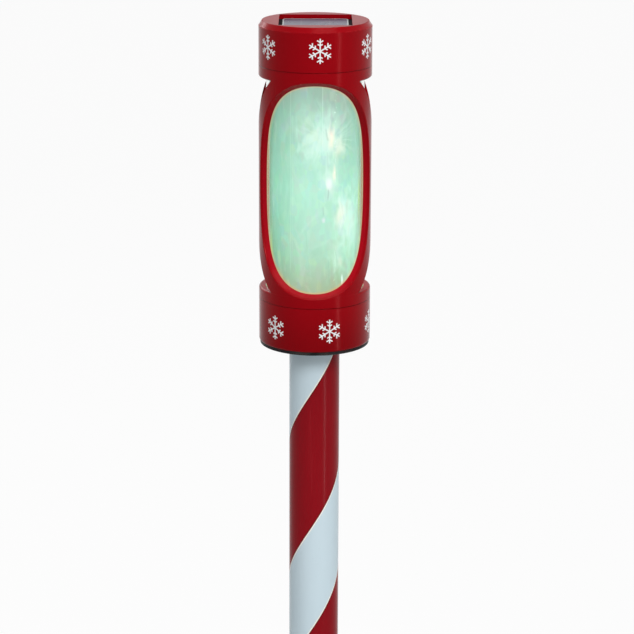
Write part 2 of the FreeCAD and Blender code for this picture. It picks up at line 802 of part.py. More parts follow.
def snowflake(radius, height, angle):
    """A six-armed flake of printed ink on a cylinder, one arm upright."""
    stroke = mm.flake_stroke.value
    depth = mm.flake_reach.value

    def bar(length):
        return Part.makeBox(stroke, depth, length, Vector(-stroke / 2, -radius - depth / 2, 0))

    inward = Vector(0, 1, 0)
    arm = [bar(mm.flake_reach.value)]
    barbs = [
        (mm.inner_barb_junction, mm.inner_barb_length),
        (mm.outer_barb_junction, mm.outer_barb_length),
    ]
    for junction, length in barbs:
        for side in (-1, 1):
            barb = bar(length.value)
            barb.rotate(Vector(0, 0, 0), inward, side * BARB_ANGLE)
            barb.translate(Vector(0, 0, junction.value))
            arm.append(barb)
    arms = []
    for number in range(FLAKE_ARMS):
        for stroke_shape in arm:
            copy = stroke_shape.copy()
            copy.rotate(Vector(0, 0, 0), inward, FULL_TURN * number / FLAKE_ARMS)
            arms.append(copy)
    flat = arms[0].fuse(arms[1:])
    flat.translate(Vector(0, 0, height))
    reach = mm.flake_reach.value + mm.cut_overrun.value
    low = Vector(0, 0, height - reach)
    skin = Part.makeCylinder(radius + mm.flake_ink.value, 2 * reach, low)
    skin = skin.cut(Part.makeCylinder(radius, 2 * reach, low))
    flake = flat.common(skin).removeSplitter().Solids[0]
    flake.rotate(Vector(0, 0, 0), Vector(0, 0, 1), angle)
    return flake


def snowflakes():
    """A ring of six flakes on each cap, the lower ring turned a little further."""
    rows = [
        ("upper_snowflakes", head_top - mm.upper_flake_drop, UPPER_FLAKE_TURN),
        ("lower_snowflakes", base_top + mm.lower_flake_rise, LOWER_FLAKE_TURN),
    ]
    for name, height, first_angle in rows:
        first = snowflake(mm.cap_radius.value, height.value, first_angle)
        flakes = []
        for number in range(FLAKE_COUNT):
            copy = first.copy()
            copy.rotate(Vector(0, 0, 0), Vector(0, 0, 1), FULL_TURN * number / FLAKE_COUNT)
            flakes.append(copy)
        piece(shaped(f"{name}_ring", Part.makeCompound(flakes)), name)


# Places inside the upper cap, above the inner cover
board_bottom = cover_top + mm.switch_height
board_top = board_bottom + mm.board_thickness
battery_level = cover_top + mm.battery_lift + mm.battery_radius
contact_reach = mm.battery_body_length / 2 + mm.battery_nub_length
lens_radius = mm.lens_bore + mm.lens_wall
lens_lip_top = cover_top + mm.lens_lip_height
led_tip = lens_lip_top - mm.led_flange_height - mm.led_body_length - mm.led_radius
wire_level = board_top + mm.wire_rise


def lying_cylinder(name, radius, start, length, along, up):
    """A cylinder along X from a starting place."""
    part = document.addObject("Part::Cylinder", name)
    bind(part, Radius=radius, Height=length)
    part.Placement = Placement(Vector(), Rotation(Vector(0, 0, 1), Vector(1, 0, 0)))
    place(part, start, along, up)
    return part


def inner_cover():
    """Plate that closes the cap from below, with the cradle, contact posts and board posts on it."""
    low = cover_bottom - mm.cut_overrun
    high = cover_top + mm.cut_overrun
    sunk = cover_top - mm.cover_thickness / 2
    additions = [cylinder("cover_disc", cap_bore - mm.fit_gap, cover_bottom, cover_top)]
    tools = [cylinder("lens_hole", lens_radius + mm.fit_gap, low, high)]
    for side in (-1, 1):
        centre = (mm.cradle_spacing / 2 * side, mm.battery_offset)
        half = mm.cradle_thickness / 2
        cradle_top = cover_top + mm.cradle_height
        name = f"cradle_{side + 1}"
        additions.append(centred_box(name, centre, half, mm.battery_radius, sunk, cradle_top))
        post_centre = (contact_reach + mm.contact_thickness + mm.contact_post_thickness / 2) * side
        additions.append(centred_box(
            f"contact_post_{side + 1}", (post_centre, mm.battery_offset),
            mm.contact_post_thickness / 2, mm.contact_width / 2, sunk, cover_top + mm.contact_height,
        ))
        for end in (-1, 1):
            across = (mm.board_length / 2 - mm.board_post_radius) * side
            along = (mm.board_width / 2 - mm.board_post_radius) * end - mm.board_offset
            name = f"board_post_{side + 1}_{end + 1}"
            additions.append(cylinder(name, mm.board_post_radius, sunk, board_bottom, across, along))
    reach = contact_reach - mm.contact_thickness
    tools.append(lying_cylinder(
        "cradle_hollow", mm.battery_radius + mm.fit_gap, -reach, reach * 2, mm.battery_offset, battery_level
    ))
    radius = mm.cover_screw_shank_radius + mm.fit_gap
    for number, (across, along) in enumerate(ring_places(BOSS_COUNT, mm.boss_circle, 0)):
        tools.append(cylinder(f"cover_hole_{number}", radius, low, high, across, along))
    half = (mm.stem_length + mm.knob_travel) / 2 + mm.fit_gap
    half_width = mm.stem_width / 2 + mm.fit_gap
    tools.append(centred_box("knob_slot", (ZERO, -mm.board_offset), half, half_width, low, high))
    notch = mm.lug_length + mm.slide_gap
    for number, (across, along) in enumerate(ring_places(LUG_COUNT, cap_bore, LUG_REST_ANGLE)):
        tools.append(cylinder(f"lug_notch_{number}", notch, low, high, across, along))
    piece(cut("cover_cut_out", fused("cover_solid", additions), tools), "inner_cover")


def cover_screws():
    shape = screw(
        mm.cover_screw_head_radius.value,
        mm.cover_screw_head_height.value,
        mm.cover_screw_shank_radius.value,
        mm.cover_screw_length.value,
    )
    places = ring_places(BOSS_COUNT, mm.boss_circle, 0)
    piece(screw_group("cover_screw_group", shape, places, cover_bottom), "cover_screws")


def battery_and_contacts():
    """The cell lies along X, its nub towards +X, between two plates that stand against their posts."""
    start = -mm.battery_body_length / 2
    body = lying_cylinder(
        "cell_body", mm.battery_radius, start, mm.battery_body_length, mm.battery_offset, battery_level
    )
    nub = lying_cylinder(
        "cell_nub", mm.battery_nub_radius, -start, mm.battery_nub_length, mm.battery_offset, battery_level
    )
    piece(fused("cell", [body, nub]), "battery")
    plates = []
    for side in (-1, 1):
        centre = (contact_reach + mm.contact_thickness / 2) * side
        plates.append(centred_box(
            f"contact_plate_{side + 1}", (centre, mm.battery_offset),
            mm.contact_thickness / 2, mm.contact_width / 2, cover_top, cover_top + mm.contact_height,
        ))
    button = lying_cylinder(
        "contact_button", mm.contact_button_radius, -contact_reach - mm.contact_thickness / 2,
        mm.battery_nub_length + mm.contact_thickness / 2, mm.battery_offset, battery_level,
    )
    pair = document.addObject("Part::Compound", "contact_pair")
    pair.Links = [fused("contact_with_button", [plates[0], button]), plates[1]]
    piece(pair, "battery_contacts")


def circuit_board():
    half_length = mm.board_length / 2
    half_width = mm.board_width / 2
    along = -mm.board_offset
    board = centred_box("board_plate", (ZERO, along), half_length, half_width, board_bottom, board_top)
    piece(board, "circuit_board")
    chip_centre = (ZERO, along - mm.chip_width / 2)
    chip_top = board_top + mm.chip_height
    chip = centred_box("chip", chip_centre, mm.chip_length / 2, mm.chip_width / 2, board_top, chip_top)
    coil_place = mm.board_length * COIL_PLACE_SHARE
    coil = cylinder("coil", mm.coil_radius, board_top, board_top + mm.coil_height, coil_place, along)
    capacitor_place = mm.board_length * CAPACITOR_PLACE_SHARE
    capacitor_top = board_top + mm.capacitor_height
    capacitor = cylinder("capacitor", mm.capacitor_radius, board_top, capacitor_top, capacitor_place, along)
    group = document.addObject("Part::Compound", "board_part_group")
    group.Links = [chip, coil, capacitor]
    piece(group, "board_parts")


def switch():
    """Slide switch under the board: its knob reaches down through the inner cover."""
    centre = (ZERO, -mm.board_offset)
    half_length = mm.switch_length / 2
    half_width = mm.switch_width / 2
    floor = cover_top + mm.switch_wall
    ceiling = board_bottom - mm.switch_wall
    case = centred_box("switch_case", centre, half_length, half_width, cover_top, board_bottom)
    inner_length = half_length - mm.switch_wall
    inner_width = half_width - mm.switch_wall
    cavity = centred_box("switch_cavity", centre, inner_length, inner_width, floor, ceiling)
    slot_half = (mm.stem_length + mm.knob_travel) / 2 + mm.fit_gap
    slot = centred_box(
        "switch_slot", centre, slot_half, mm.stem_width / 2 + mm.fit_gap,
        cover_top - mm.cut_overrun, floor + mm.switch_wall,
    )
    piece(cut("switch_hollow", case, [cavity, slot]), "switch_body")
    on_place = (-mm.knob_travel / 2, -mm.board_offset)
    slider_low = floor + mm.fit_gap
    slider_high = ceiling - mm.fit_gap
    slider_width = inner_width - mm.fit_gap
    slider = centred_box("slider", on_place, mm.slider_length / 2, slider_width, slider_low, slider_high)
    thumb_top = cover_bottom - mm.slide_gap
    thumb_low = thumb_top - mm.thumb_drop
    stem = centred_box("stem", on_place, mm.stem_length / 2, mm.stem_width / 2, thumb_top, slider_low)
    thumb = centred_box("thumb", on_place, mm.thumb_length / 2, mm.thumb_width / 2, thumb_low, thumb_top)
    piece(fused("knob", [slider, stem, thumb]), "switch_knob")


def lamps():
    """Three domed lamps under a round board, in a clear cup that hangs in the inner cover."""
    board_low = lens_lip_top
    disc = cylinder("led_disc", lens_radius, board_low, board_low + mm.led_board_thickness)
    piece(disc, "led_board")
    radius = mm.led_radius.value
    lamp = Part.makeSphere(radius, Vector(0, 0, led_tip.value + radius))
    barrel_low = led_tip + mm.led_radius
    lamp = lamp.fuse([
        Part.makeCylinder(radius, mm.led_body_length.value, Vector(0, 0, barrel_low.value)),
        Part.makeCylinder(
            mm.led_flange_radius.value, mm.led_flange_height.value,
            Vector(0, 0, (barrel_low + mm.led_body_length).value),
        ),
    ]).removeSplitter()
    copies = []
    for across, along in ring_places(LED_COUNT, mm.led_circle, FRONT):
        copy = lamp.copy()
        copy.translate(Vector(across.value, along.value, 0))
        copies.append(copy)
    piece(shaped("led_group", Part.makeCompound(copies)), "leds")
    floor_top = led_tip - mm.lens_floor_gap
    floor_low = floor_top - mm.lens_floor
    lip_radius = lens_radius + mm.lens_lip_width
    body = turned("lens_cup", [
        (ZERO, floor_low),
        (lens_radius, floor_low),
        (lens_radius, cover_top),
        (lip_radius, cover_top),
        (lip_radius, lens_lip_top),
        (mm.lens_bore, lens_lip_top),
        (mm.lens_bore, floor_top),
        (ZERO, floor_top),
    ])
    round_rings(body, "lens_round", mm.lens_wall, [(lens_radius, floor_low)])
    piece(body, "led_lens")


def wire(points):
    """A round wire along straight runs joined by arcs."""
    bend = mm.wire_bend_radius.value
    edges = []
    start = points[0]
    for before, corner, after in zip(points, points[1:], points[2:]):
        back = (before - corner).normalize()
        ahead = (after - corner).normalize()
        half_angle = back.getAngle(ahead) / 2
        reach = bend / math.tan(half_angle)
        inwards = (back + ahead).normalize()
        middle = corner + inwards * (bend / math.sin(half_angle) - bend)
        arc_start = corner + back * reach
        arc_end = corner + ahead * reach
        edges.append(Part.LineSegment(start, arc_start).toShape())
        edges.append(Part.Arc(arc_start, middle, arc_end).toShape())
        start = arc_end
    edges.append(Part.LineSegment(start, points[-1]).toShape())
    section = Part.Wire(Part.makeCircle(mm.wire_radius.value, points[0], points[1] - points[0]))
    return Part.Wire(edges).makePipeShell([section], True, False)


def wires():
    """Two leads each from the panel, the cell's contacts and the lamps to the circuit board."""
    level = wire_level.value
    landing = board_top.value
    landing_line = (mm.board_width / 2 - mm.board_offset - mm.wire_inset).value
    panel_line = (-mm.board_offset / 2).value
    led_line = -mm.led_line.value
    contact_edge = (mm.battery_offset - mm.contact_width / 2).value
    contact_middle = (contact_reach + mm.contact_thickness / 2).value
    turn_line = contact_edge - mm.wire_jog.value
    run_line = contact_middle - mm.wire_jog.value
    end_line = run_line - mm.wire_jog.value
    board_line = -mm.board_offset.value
    leads = []
    for side in (-1, 1):
        across = side * mm.wire_spacing.value / 2
        leads.append(wire([
            Vector(across, panel_line, recess_floor.value),
            Vector(across, panel_line, level),
            Vector(across, landing_line, level),
            Vector(across, landing_line, landing),
        ]))
        across = side * (mm.wire_spacing * 3 / 2).value
        leads.append(wire([
            Vector(across, led_line, (lens_lip_top + mm.led_board_thickness).value),
            Vector(across, led_line, level),
            Vector(across, landing_line, level),
            Vector(across, landing_line, landing),
        ]))
        leads.append(wire([
            Vector(side * contact_middle, contact_edge, level),
            Vector(side * contact_middle, turn_line, level),
            Vector(side * run_line, turn_line, level),
            Vector(side * run_line, board_line, level),
            Vector(side * end_line, board_line, level),
            Vector(side * end_line, board_line, landing),
        ]))
    piece(shaped("lead_group", Part.makeCompound(leads)), "wires")


def check_and_write():
    """Stops at any failed object or unsound shape, then writes one file for each piece."""
    document.recompute()
    for item in document.Objects:
        if "Invalid" in item.State or "Error" in item.State:
            raise RuntimeError(f"{item.Name} has failed: {item.State}")
    os.makedirs("parts", exist_ok=True)
    for item in pieces:
        if item.Shape.isNull() or not item.Shape.isValid() or not item.Shape.Solids:
            raise RuntimeError(f"{item.Label} has no sound shape")
        item.Shape.exportStep(f"parts/{item.Label}.step")
        print(item.Label, len(item.Shape.Solids), round(item.Shape.Volume))


ground_spike()
pole()
base_plate()
base_screws()
bottom_cap()
window_frame()
tube_film_and_reflector()
cap_seal()
solar_cap()
solar_panel()
snowflakes()
inner_cover()
cover_screws()
battery_and_contacts()
circuit_board()
switch()
lamps()
wires()
check_and_write()
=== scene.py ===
import math

import bmesh
import bpy
from mathutils import Matrix, Vector, noise

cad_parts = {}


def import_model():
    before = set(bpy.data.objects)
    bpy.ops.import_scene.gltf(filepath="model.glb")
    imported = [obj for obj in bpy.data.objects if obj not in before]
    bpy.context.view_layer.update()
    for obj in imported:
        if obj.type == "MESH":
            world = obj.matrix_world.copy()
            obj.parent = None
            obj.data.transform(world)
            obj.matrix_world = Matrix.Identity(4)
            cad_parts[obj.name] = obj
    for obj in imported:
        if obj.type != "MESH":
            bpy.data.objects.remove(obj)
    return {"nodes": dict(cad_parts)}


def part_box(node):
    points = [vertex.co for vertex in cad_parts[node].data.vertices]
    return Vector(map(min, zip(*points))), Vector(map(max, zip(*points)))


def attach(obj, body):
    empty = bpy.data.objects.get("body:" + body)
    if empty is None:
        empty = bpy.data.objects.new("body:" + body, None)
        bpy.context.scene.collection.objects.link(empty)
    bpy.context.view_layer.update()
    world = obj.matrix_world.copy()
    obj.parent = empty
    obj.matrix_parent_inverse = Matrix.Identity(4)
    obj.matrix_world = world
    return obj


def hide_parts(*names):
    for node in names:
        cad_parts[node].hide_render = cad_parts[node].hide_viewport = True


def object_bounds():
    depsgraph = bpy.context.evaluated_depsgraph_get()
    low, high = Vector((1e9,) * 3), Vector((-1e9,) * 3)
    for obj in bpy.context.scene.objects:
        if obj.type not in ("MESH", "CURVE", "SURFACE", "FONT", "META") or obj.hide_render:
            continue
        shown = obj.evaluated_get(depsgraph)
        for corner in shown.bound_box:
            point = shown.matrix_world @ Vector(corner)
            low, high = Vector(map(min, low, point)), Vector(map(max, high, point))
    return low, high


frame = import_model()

# Looks of a solar bollard light: a red lamp head with two windows on a red and white striped pole.
# Metres, +Z up, origin on the pole's axis at ground level. The front window faces -Y.
# Marks on the head are placed by an angle round the pole, nought at the front and positive
# towards +X, and by a height above ground in millimetres.

cad_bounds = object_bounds()
MM = 0.001
CAD = frame["nodes"]


def rgb(red, green, blue):
    """A linear colour with full opacity."""
    return red, green, blue, 1.0


class Value:
    """An output of a shader node. Python's operators on it add Math nodes."""

    def __init__(self, nodes, socket):
        self.nodes = nodes
        self.socket = socket

    def __add__(self, other):
        return self.nodes.math("ADD", self, other)

    def __sub__(self, other):
        return self.nodes.math("SUBTRACT", self, other)

    def __mul__(self, other):
        return self.nodes.math("MULTIPLY", self, other)

    def __truediv__(self, other):
        return self.nodes.math("DIVIDE", self, other)

    def __rsub__(self, other):
        return self.nodes.math("SUBTRACT", other, self)

    __radd__ = __add__
    __rmul__ = __mul__


class Nodes:
    """The node tree of a material or of the world, emptied and ready to be filled."""

    def __init__(self, tree):
        self.tree = tree
        tree.nodes.clear()

    def node(self, kind, settings=None, sockets=None, output=0):
        """Adds a node: its settings first, then the values or links of its sockets."""
        made = self.tree.nodes.new(kind)
        for name, setting in (settings or {}).items():
            if name == "stops":
                self.set_stops(made.color_ramp.elements, setting)
            else:
                setattr(made, name, setting)
        inputs = {socket.identifier: socket for socket in made.inputs}
        for name, value in (sockets or {}).items():
            if isinstance(value, Value):
                self.tree.links.new(value.socket, inputs[name])
            else:
                inputs[name].default_value = value
        return Value(self, made.outputs[output]) if made.outputs else made

    def set_stops(self, elements, stops):
        """Gives a ramp its stops, as pairs of position and colour."""
        while len(elements) < len(stops):
            elements.new(1.0)
        for element, (position, colour) in zip(elements, stops):
            element.position = position
            element.color = colour

    def math(self, operation, *values):
        names = ("Value", "Value_001", "Value_002")
        return self.node("ShaderNodeMath", {"operation": operation}, dict(zip(names, values)))

    def point(self):
        """The place on the surface, in metres in the object's own frame."""
        return self.node("ShaderNodeTexCoord", output="Object")

    def axes(self):
        """The same place as three values in millimetres: across, along and up."""
        scaled = self.stretched(1 / MM, (1.0, 1.0, 1.0))
        split = self.node("ShaderNodeSeparateXYZ", None, {"Vector": scaled}).socket.node
        return [Value(self, output) for output in split.outputs]

    def stretched(self, scale, stretch):
        """The place on the surface, scaled along each axis."""
        factors = tuple(scale * share for share in stretch)
        sockets = {"Vector": self.point(), "Scale": factors}
        return self.node("ShaderNodeMapping", None, sockets)

    def azimuth(self, across, along):
        """Angle round the pole in degrees, nought at the front."""
        return self.math("ARCTAN2", across, 0 - along) * math.degrees(1)

    def radius(self, across, along):
        """Distance from the pole's axis, or from the middle of a spot."""
        return self.math("SQRT", across * across + along * along)

    def step(self, value, low, high):
        """Nought below low, one above high, and a soft change between them."""
        ends = {"Value": value, "From Min": low, "From Max": high}
        return self.node("ShaderNodeMapRange", {"interpolation_type": "SMOOTHSTEP"}, ends)

    def line(self, value, place, half_width):
        """One at a place, and nought at half the width from it on both sides."""
        return 1 - self.step(self.math("ABSOLUTE", value - place), 0.0, half_width)

    def repeated(self, value, half_pitch, half_width):
        """The same as a line, at nought and again at each whole pitch."""
        return self.line(self.math("PINGPONG", value, half_pitch), 0.0, half_width)

    def within(self, value, low, high, soft):
        """One between two ends and nought beyond them, with a soft change inside each end."""
        return self.step(value, low, low + soft) * (1 - self.step(value, high - soft, high))

    def either(self, first, second):
        return self.math("MAXIMUM", first, second)

    def shade(self, share, colour, tint):
        """A colour multiplied by a tint, by a share."""
        sockets = {"Factor_Float": share, "A_Color": colour, "B_Color": tint}
        settings = {"data_type": "RGBA", "blend_type": "MULTIPLY"}
        return self.node("ShaderNodeMix", settings, sockets, output=2)

    def clouds(self, scale, detail=2.0, stretch=(1.0, 1.0, 1.0), distortion=0.0):
        """Noise with so many swells to a metre, stretched along the axes."""
        sockets = {"Vector": self.stretched(scale, stretch), "Scale": 1.0}
        sockets.update({"Detail": detail, "Distortion": distortion})
        return self.node("ShaderNodeTexNoise", None, sockets)

    def cells(self, scale, stretch=(1.0, 1.0, 1.0), feature="F1", output="Distance"):
        """Cells, so many to a metre: distance from each cell's middle, or a colour for each."""
        sockets = {"Vector": self.stretched(scale, stretch), "Scale": 1.0}
        return self.node("ShaderNodeTexVoronoi", {"feature": feature}, sockets, output)

    def folds(self, scale, stretch):
        """Cells of a crumpled sheet: how far each point is from the nearest fold."""
        return self.cells(scale, stretch, "DISTANCE_TO_EDGE")

    def mix(self, share, first, second):
        """A colour between two colours."""
        sockets = {"Factor_Float": share, "A_Color": first, "B_Color": second}
        return self.node("ShaderNodeMix", {"data_type": "RGBA"}, sockets, output=2)

    def bump(self, height, depth):
        """A normal from a height between nought and one, and its depth in metres."""
        return self.node("ShaderNodeBump", None, {"Height": height, "Distance": depth})


class Finish(Nodes):
    """A material with its node tree."""

    def __init__(self, name):
        self.material = bpy.data.materials.new(name)
        self.material.use_nodes = True
        super().__init__(self.material.node_tree)

    def principled(self, **sockets):
        """The shader of most surfaces. Underscores in the names stand for spaces."""
        named = {name.replace("_", " "): value for name, value in sockets.items()}
        return self.node("ShaderNodeBsdfPrincipled", None, named)

    def done(self, shader):
        self.node("ShaderNodeOutputMaterial", None, {"Surface": shader})
        return self.material


def paint(material, *names):
    """Gives a material to CAD nodes."""
    for name in names:
        for material_slot in CAD[name].material_slots:
            material_slot.material = material


def placed(name, data):
    """Makes an object of its data, at the origin, and links it to the scene."""
    made = bpy.data.objects.new(name, data)
    bpy.context.scene.collection.objects.link(made)
    return made


def meshed(mesh, name, material):
    """Makes an object of a bmesh and gives it its material."""
    data = bpy.data.meshes.new(name)
    mesh.to_mesh(data)
    mesh.free()
    data.materials.append(material)
    return placed(name, data)


def finished(mesh, name, material, body, slot_name, *replaced):
    """Makes a smooth piece of a bmesh, hides the nodes it replaces, and lets it ride on a body. Its
    slot name is not used.
    """
    made = meshed(mesh, name, material)
    made.data.shade_smooth()
    if replaced:
        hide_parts(*replaced)
    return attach(made, body)


# Colours that several materials share

UNLIT = rgb(0.0, 0.0, 0.0)
WHITE = rgb(1, 1, 1)

# Red plastic

RED_DEEP = rgb(0.225, 0.0012, 0.0040)
RED_CLEAR = rgb(0.285, 0.0016, 0.0052)
RED_RUBBED = rgb(0.33, 0.012, 0.016)
RED_PAINTED_SHADE = rgb(0.05, 0.0006, 0.0010)
RED_TINT = rgb(1.0, 0.25, 0.25)
RED_GLOW = rgb(0.10, 0.002, 0.006)
EDGE_GLOW_CREAM_DULL = rgb(0.32, 0.40, 0.24)
EDGE_GLOW_CREAM = rgb(0.40, 0.50, 0.34)
RIM_REACH = 0.9
FLAT_REACH = 0.3
SEAM_REACH = 0.7
FOOT_PAINTED_SHADE = 0.30
# Radii and heights between which the painted glow of the film's light on the frame changes
FRAME_BORE = (33.55, 33.65)
WINDOW_WALL = (35.8, 37.4)
WINDOW_UPPER_PART = (690.0, 785.0)


def red_plastic(name, seams, flats=(), rims=(), lit_edge=False, foot=None):
    """Glossy moulded plastic with painted shade in its seams, duller flats with painted shade on
    them, and rubbed on its rims.

    Seams are given as heights, flats as height and how much painted shade darkens them, and rims
    as radius and height. A foot is given as the heights between which painted shade deepens the
    red downwards.
    """
    finish = Finish(name)
    across, along, up = finish.axes()
    radius = finish.radius(across, along)
    drift = finish.clouds(38.0, 3.0)
    streaks = finish.clouds(45.0, 2.0, (1.0, 1.0, 0.12))
    fine = finish.clouds(1800.0, 2.0)
    scratches = finish.step(finish.clouds(260.0, 4.0, (1.0, 1.0, 0.06), 0.8), 0.62, 0.72)
    roughness = 0.14 + drift * 0.07 + scratches * 0.10
    colour = finish.mix(drift * 0.6 + streaks * 0.4, RED_DEEP, RED_CLEAR)
    # Painted shade, deepening the red towards the foot
    if foot:
        colour = finish.mix((1 - finish.step(up, *foot)) * FOOT_PAINTED_SHADE, colour, RED_PAINTED_SHADE)
    for rim_radius, rim_height in rims:
        near = finish.line(radius, rim_radius, RIM_REACH) * finish.line(up, rim_height, RIM_REACH)
        rubbed = near * finish.step(finish.clouds(300.0, 4.0), 0.40, 0.62)
        colour = finish.mix(rubbed * 0.45, colour, RED_RUBBED)
        roughness = roughness + rubbed * 0.25
    # Flats are rougher, and painted shade darkens them by their share
    for height, darker in flats:
        flat = finish.line(up, height, FLAT_REACH)
        roughness = roughness + flat * 0.16
        colour = finish.mix(flat * darker, colour, RED_PAINTED_SHADE)
    # Painted shade along the seams between parts
    for height in seams:
        colour = finish.mix(finish.line(up, height, SEAM_REACH) * 0.5, colour, RED_PAINTED_SHADE)
    glow = {}
    if lit_edge:
        # Painted glow: the film's light on the frame's bore, which shows through the clear tube's
        # edge, and more dimly on the walls of the windows, all but their tops.
        inner = 1 - finish.step(radius, *FRAME_BORE)
        beyond_wall = finish.step(radius, *WINDOW_WALL)
        unlit = finish.either(finish.step(up, *WINDOW_UPPER_PART), beyond_wall)
        through = finish.mix(unlit, RED_GLOW, UNLIT)
        cream = finish.mix(finish.clouds(60.0, 2.0), EDGE_GLOW_CREAM_DULL, EDGE_GLOW_CREAM)
        glow["Emission_Color"] = finish.mix(inner, through, cream)
        glow["Emission_Strength"] = 0.8
    shader = finish.principled(
        Base_Color=colour,
        Roughness=roughness,
        Specular_IOR_Level=0.11,
        Specular_Tint=RED_TINT,
        Normal=finish.bump(fine + streaks * 0.6, 0.012 * MM),
        **glow,
    )
    return finish.done(shader)


# Striped pole. The stripes wind up round both pole pieces, one red and one white to each pitch.

STRIPE_PITCH = 176.0
RED_BAND = 99.0
# Height at which a red band's upper edge crosses the front of the pole
RED_BAND_TOP = 572.3
STRIPE_EDGE = 0.3
EDGE_LIGHT_REACH = 2.2
POLE_WHITE_DULL = rgb(0.54, 0.66, 0.72)
POLE_WHITE = rgb(0.61, 0.73, 0.79)
POLE_RED_DULL = rgb(0.215, 0.0020, 0.0060)
POLE_RED = rgb(0.265, 0.0026, 0.0080)
WHITE_SCUFF = rgb(0.40, 0.46, 0.48)
RED_SCUFF = rgb(0.32, 0.02, 0.025)
EDGE_HIGHLIGHT_CREAM = rgb(0.95, 0.87, 0.77)
EDGE_SHADOW_RED = rgb(0.045, 0.001, 0.002)
SPLASHED_EARTH = rgb(0.13, 0.10, 0.07)
SPLASH_FADE = (2.0, 70.0)


def striped():
    """Glossy white tube with a red band laid on it, rub marks along it, and painted light and shade
    at the band's edges.
    """
    finish = Finish("striped_pole")
    across, along, up = finish.axes()
    wound = (up - RED_BAND_TOP) / STRIPE_PITCH - finish.azimuth(across, along) / 360.0
    below = (1 - finish.math("FRACT", wound)) * STRIPE_PITCH
    red = finish.within(below, 0.0, RED_BAND, STRIPE_EDGE)
    from_edge = finish.math("MINIMUM", below, finish.math("ABSOLUTE", below - RED_BAND))
    from_edge = finish.math("MINIMUM", from_edge, STRIPE_PITCH - below)
    # A painted highlight on the white and a painted shadow on the red, along the band's edges
    edge_light_and_shade = 1 - finish.step(from_edge, STRIPE_EDGE, EDGE_LIGHT_REACH)
    drift = finish.clouds(26.0, 3.0, (1.0, 1.0, 0.4))
    rub = finish.step(finish.clouds(240.0, 4.0, (1.0, 1.0, 0.05), 0.5), 0.60, 0.74)
    specks = finish.step(finish.clouds(900.0, 2.0), 0.70, 0.78)
    low = 1 - finish.step(up, *SPLASH_FADE)
    splash = finish.step(finish.clouds(60.0, 5.0), 0.42, 0.62) * low
    white = finish.mix(drift, POLE_WHITE_DULL, POLE_WHITE)
    white = finish.mix(specks * 0.25 + rub * 0.08, white, WHITE_SCUFF)
    white = finish.mix(edge_light_and_shade, white, EDGE_HIGHLIGHT_CREAM)
    ink = finish.mix(drift, POLE_RED_DULL, POLE_RED)
    ink = finish.mix(rub * 0.2, ink, RED_SCUFF)
    ink = finish.mix(edge_light_and_shade * 0.85, ink, EDGE_SHADOW_RED)
    colour = finish.mix(splash * 0.28, finish.mix(red, white, ink), SPLASHED_EARTH)
    skin = finish.clouds(420.0, 3.0, (1.0, 1.0, 0.12))
    shader = finish.principled(
        Base_Color=colour,
        Roughness=0.17 + drift * 0.08 + rub * 0.12 + splash * 0.3,
        Specular_IOR_Level=0.08,
        Normal=finish.bump(red + skin * 0.05, 0.04 * MM),
    )
    return finish.done(shader)


# Crumpled film, lit from inside: its glow, with the light and shade on it, is painted

FILM_FOOT = 631.5
FILM_TOP = 792.8
FILM_RADIUS = 31.2
# Millimetres round the film for each degree
FILM_ARC = FILM_RADIUS * math.pi / 180
# Angle of the edge that is lapped over, and how many degrees it laps
LAP_ANGLE = -31.2
LAP = 2.7

CREAM = rgb(1.0, 0.98, 0.80)
LILAC = rgb(0.95, 0.93, 1.0)
PALE_MINT = rgb(0.62, 0.97, 0.80)
GREEN_MINT = rgb(0.53, 0.98, 0.74)
WHITE_MINT = rgb(0.82, 1.0, 0.92)
PINK_GREY = rgb(0.42, 0.52, 0.47)
FOLD_SHADE_GREEN = rgb(0.22, 0.48, 0.36)
LIME = rgb(0.55, 0.86, 0.26)
AWAY_SHADE_TINT = rgb(0.39, 0.64, 0.53)
FILM_SHEEN_GREEN = rgb(0.045, 0.070, 0.060)
FILM_SHEEN_PINK = rgb(0.070, 0.065, 0.075)
# A painted hot spot of light has its angle, height, half width in degrees, half height in
# millimetres, strength and colour. On the back window angles are counted from the back.
FRONT_SPOTS = (
    (6.0, 750.0, 34.0, 25.0, 0.60, PALE_MINT),
    (-7.0, 751.0, 18.0, 14.0, 0.35, WHITE_MINT),
    (14.0, 750.0, 20.0, 15.0, 0.45, WHITE_MINT),
    (50.0, 684.0, 36.0, 44.0, 0.60, GREEN_MINT),
    (20.3, 752.0, 5.0, 10.0, 0.95, CREAM),
    (31.0, 742.0, 10.0, 9.0, 0.45, CREAM),
    (17.7, 720.0, 5.5, 6.0, 1.0, LILAC),
    (17.7, 720.0, 16.0, 15.0, 0.50, WHITE_MINT),
    (24.3, 725.5, 2.8, 6.5, 0.70, CREAM),
    (36.0, 707.0, 8.0, 11.0, 0.50, WHITE_MINT),
    (33.0, 697.0, 9.0, 9.5, 0.70, CREAM),
    (43.0, 694.0, 22.0, 24.0, 0.55, WHITE_MINT),
    (10.8, 694.5, 3.0, 2.6, 0.55, LILAC),
    (27.0, 671.0, 12.0, 11.0, 0.30, WHITE_MINT),
    (34.0, 665.0, 5.0, 4.0, 0.22, CREAM),
    (36.0, 652.5, 1.6, 5.0, 0.95, WHITE_MINT),
)
BACK_SPOTS = (
    (-9.0, 748.0, 30.0, 24.0, 0.55, PALE_MINT),
    (-15.0, 755.0, 5.0, 9.0, 1.0, CREAM),
    (-24.0, 722.0, 6.0, 7.0, 0.9, LILAC),
    (12.0, 706.0, 10.0, 16.0, 0.5, WHITE_MINT),
    (20.0, 690.0, 6.0, 8.0, 0.7, CREAM),
    (-30.0, 676.0, 12.0, 12.0, 0.4, WHITE_MINT),
)
# Painted pale lines of light where the sheet laps and folds: angle, lowest and highest point,
# half width in degrees, strength.
FILM_LINES = (
    (LAP_ANGLE, 655.0, 790.0, 0.75, 0.30),
    (LAP_ANGLE + LAP, 668.0, 770.0, 0.55, 0.14),
    (9.3, 736.0, 790.0, 0.70, 0.45),
    (48.0, 650.0, 700.0, 0.9, 0.12),
)
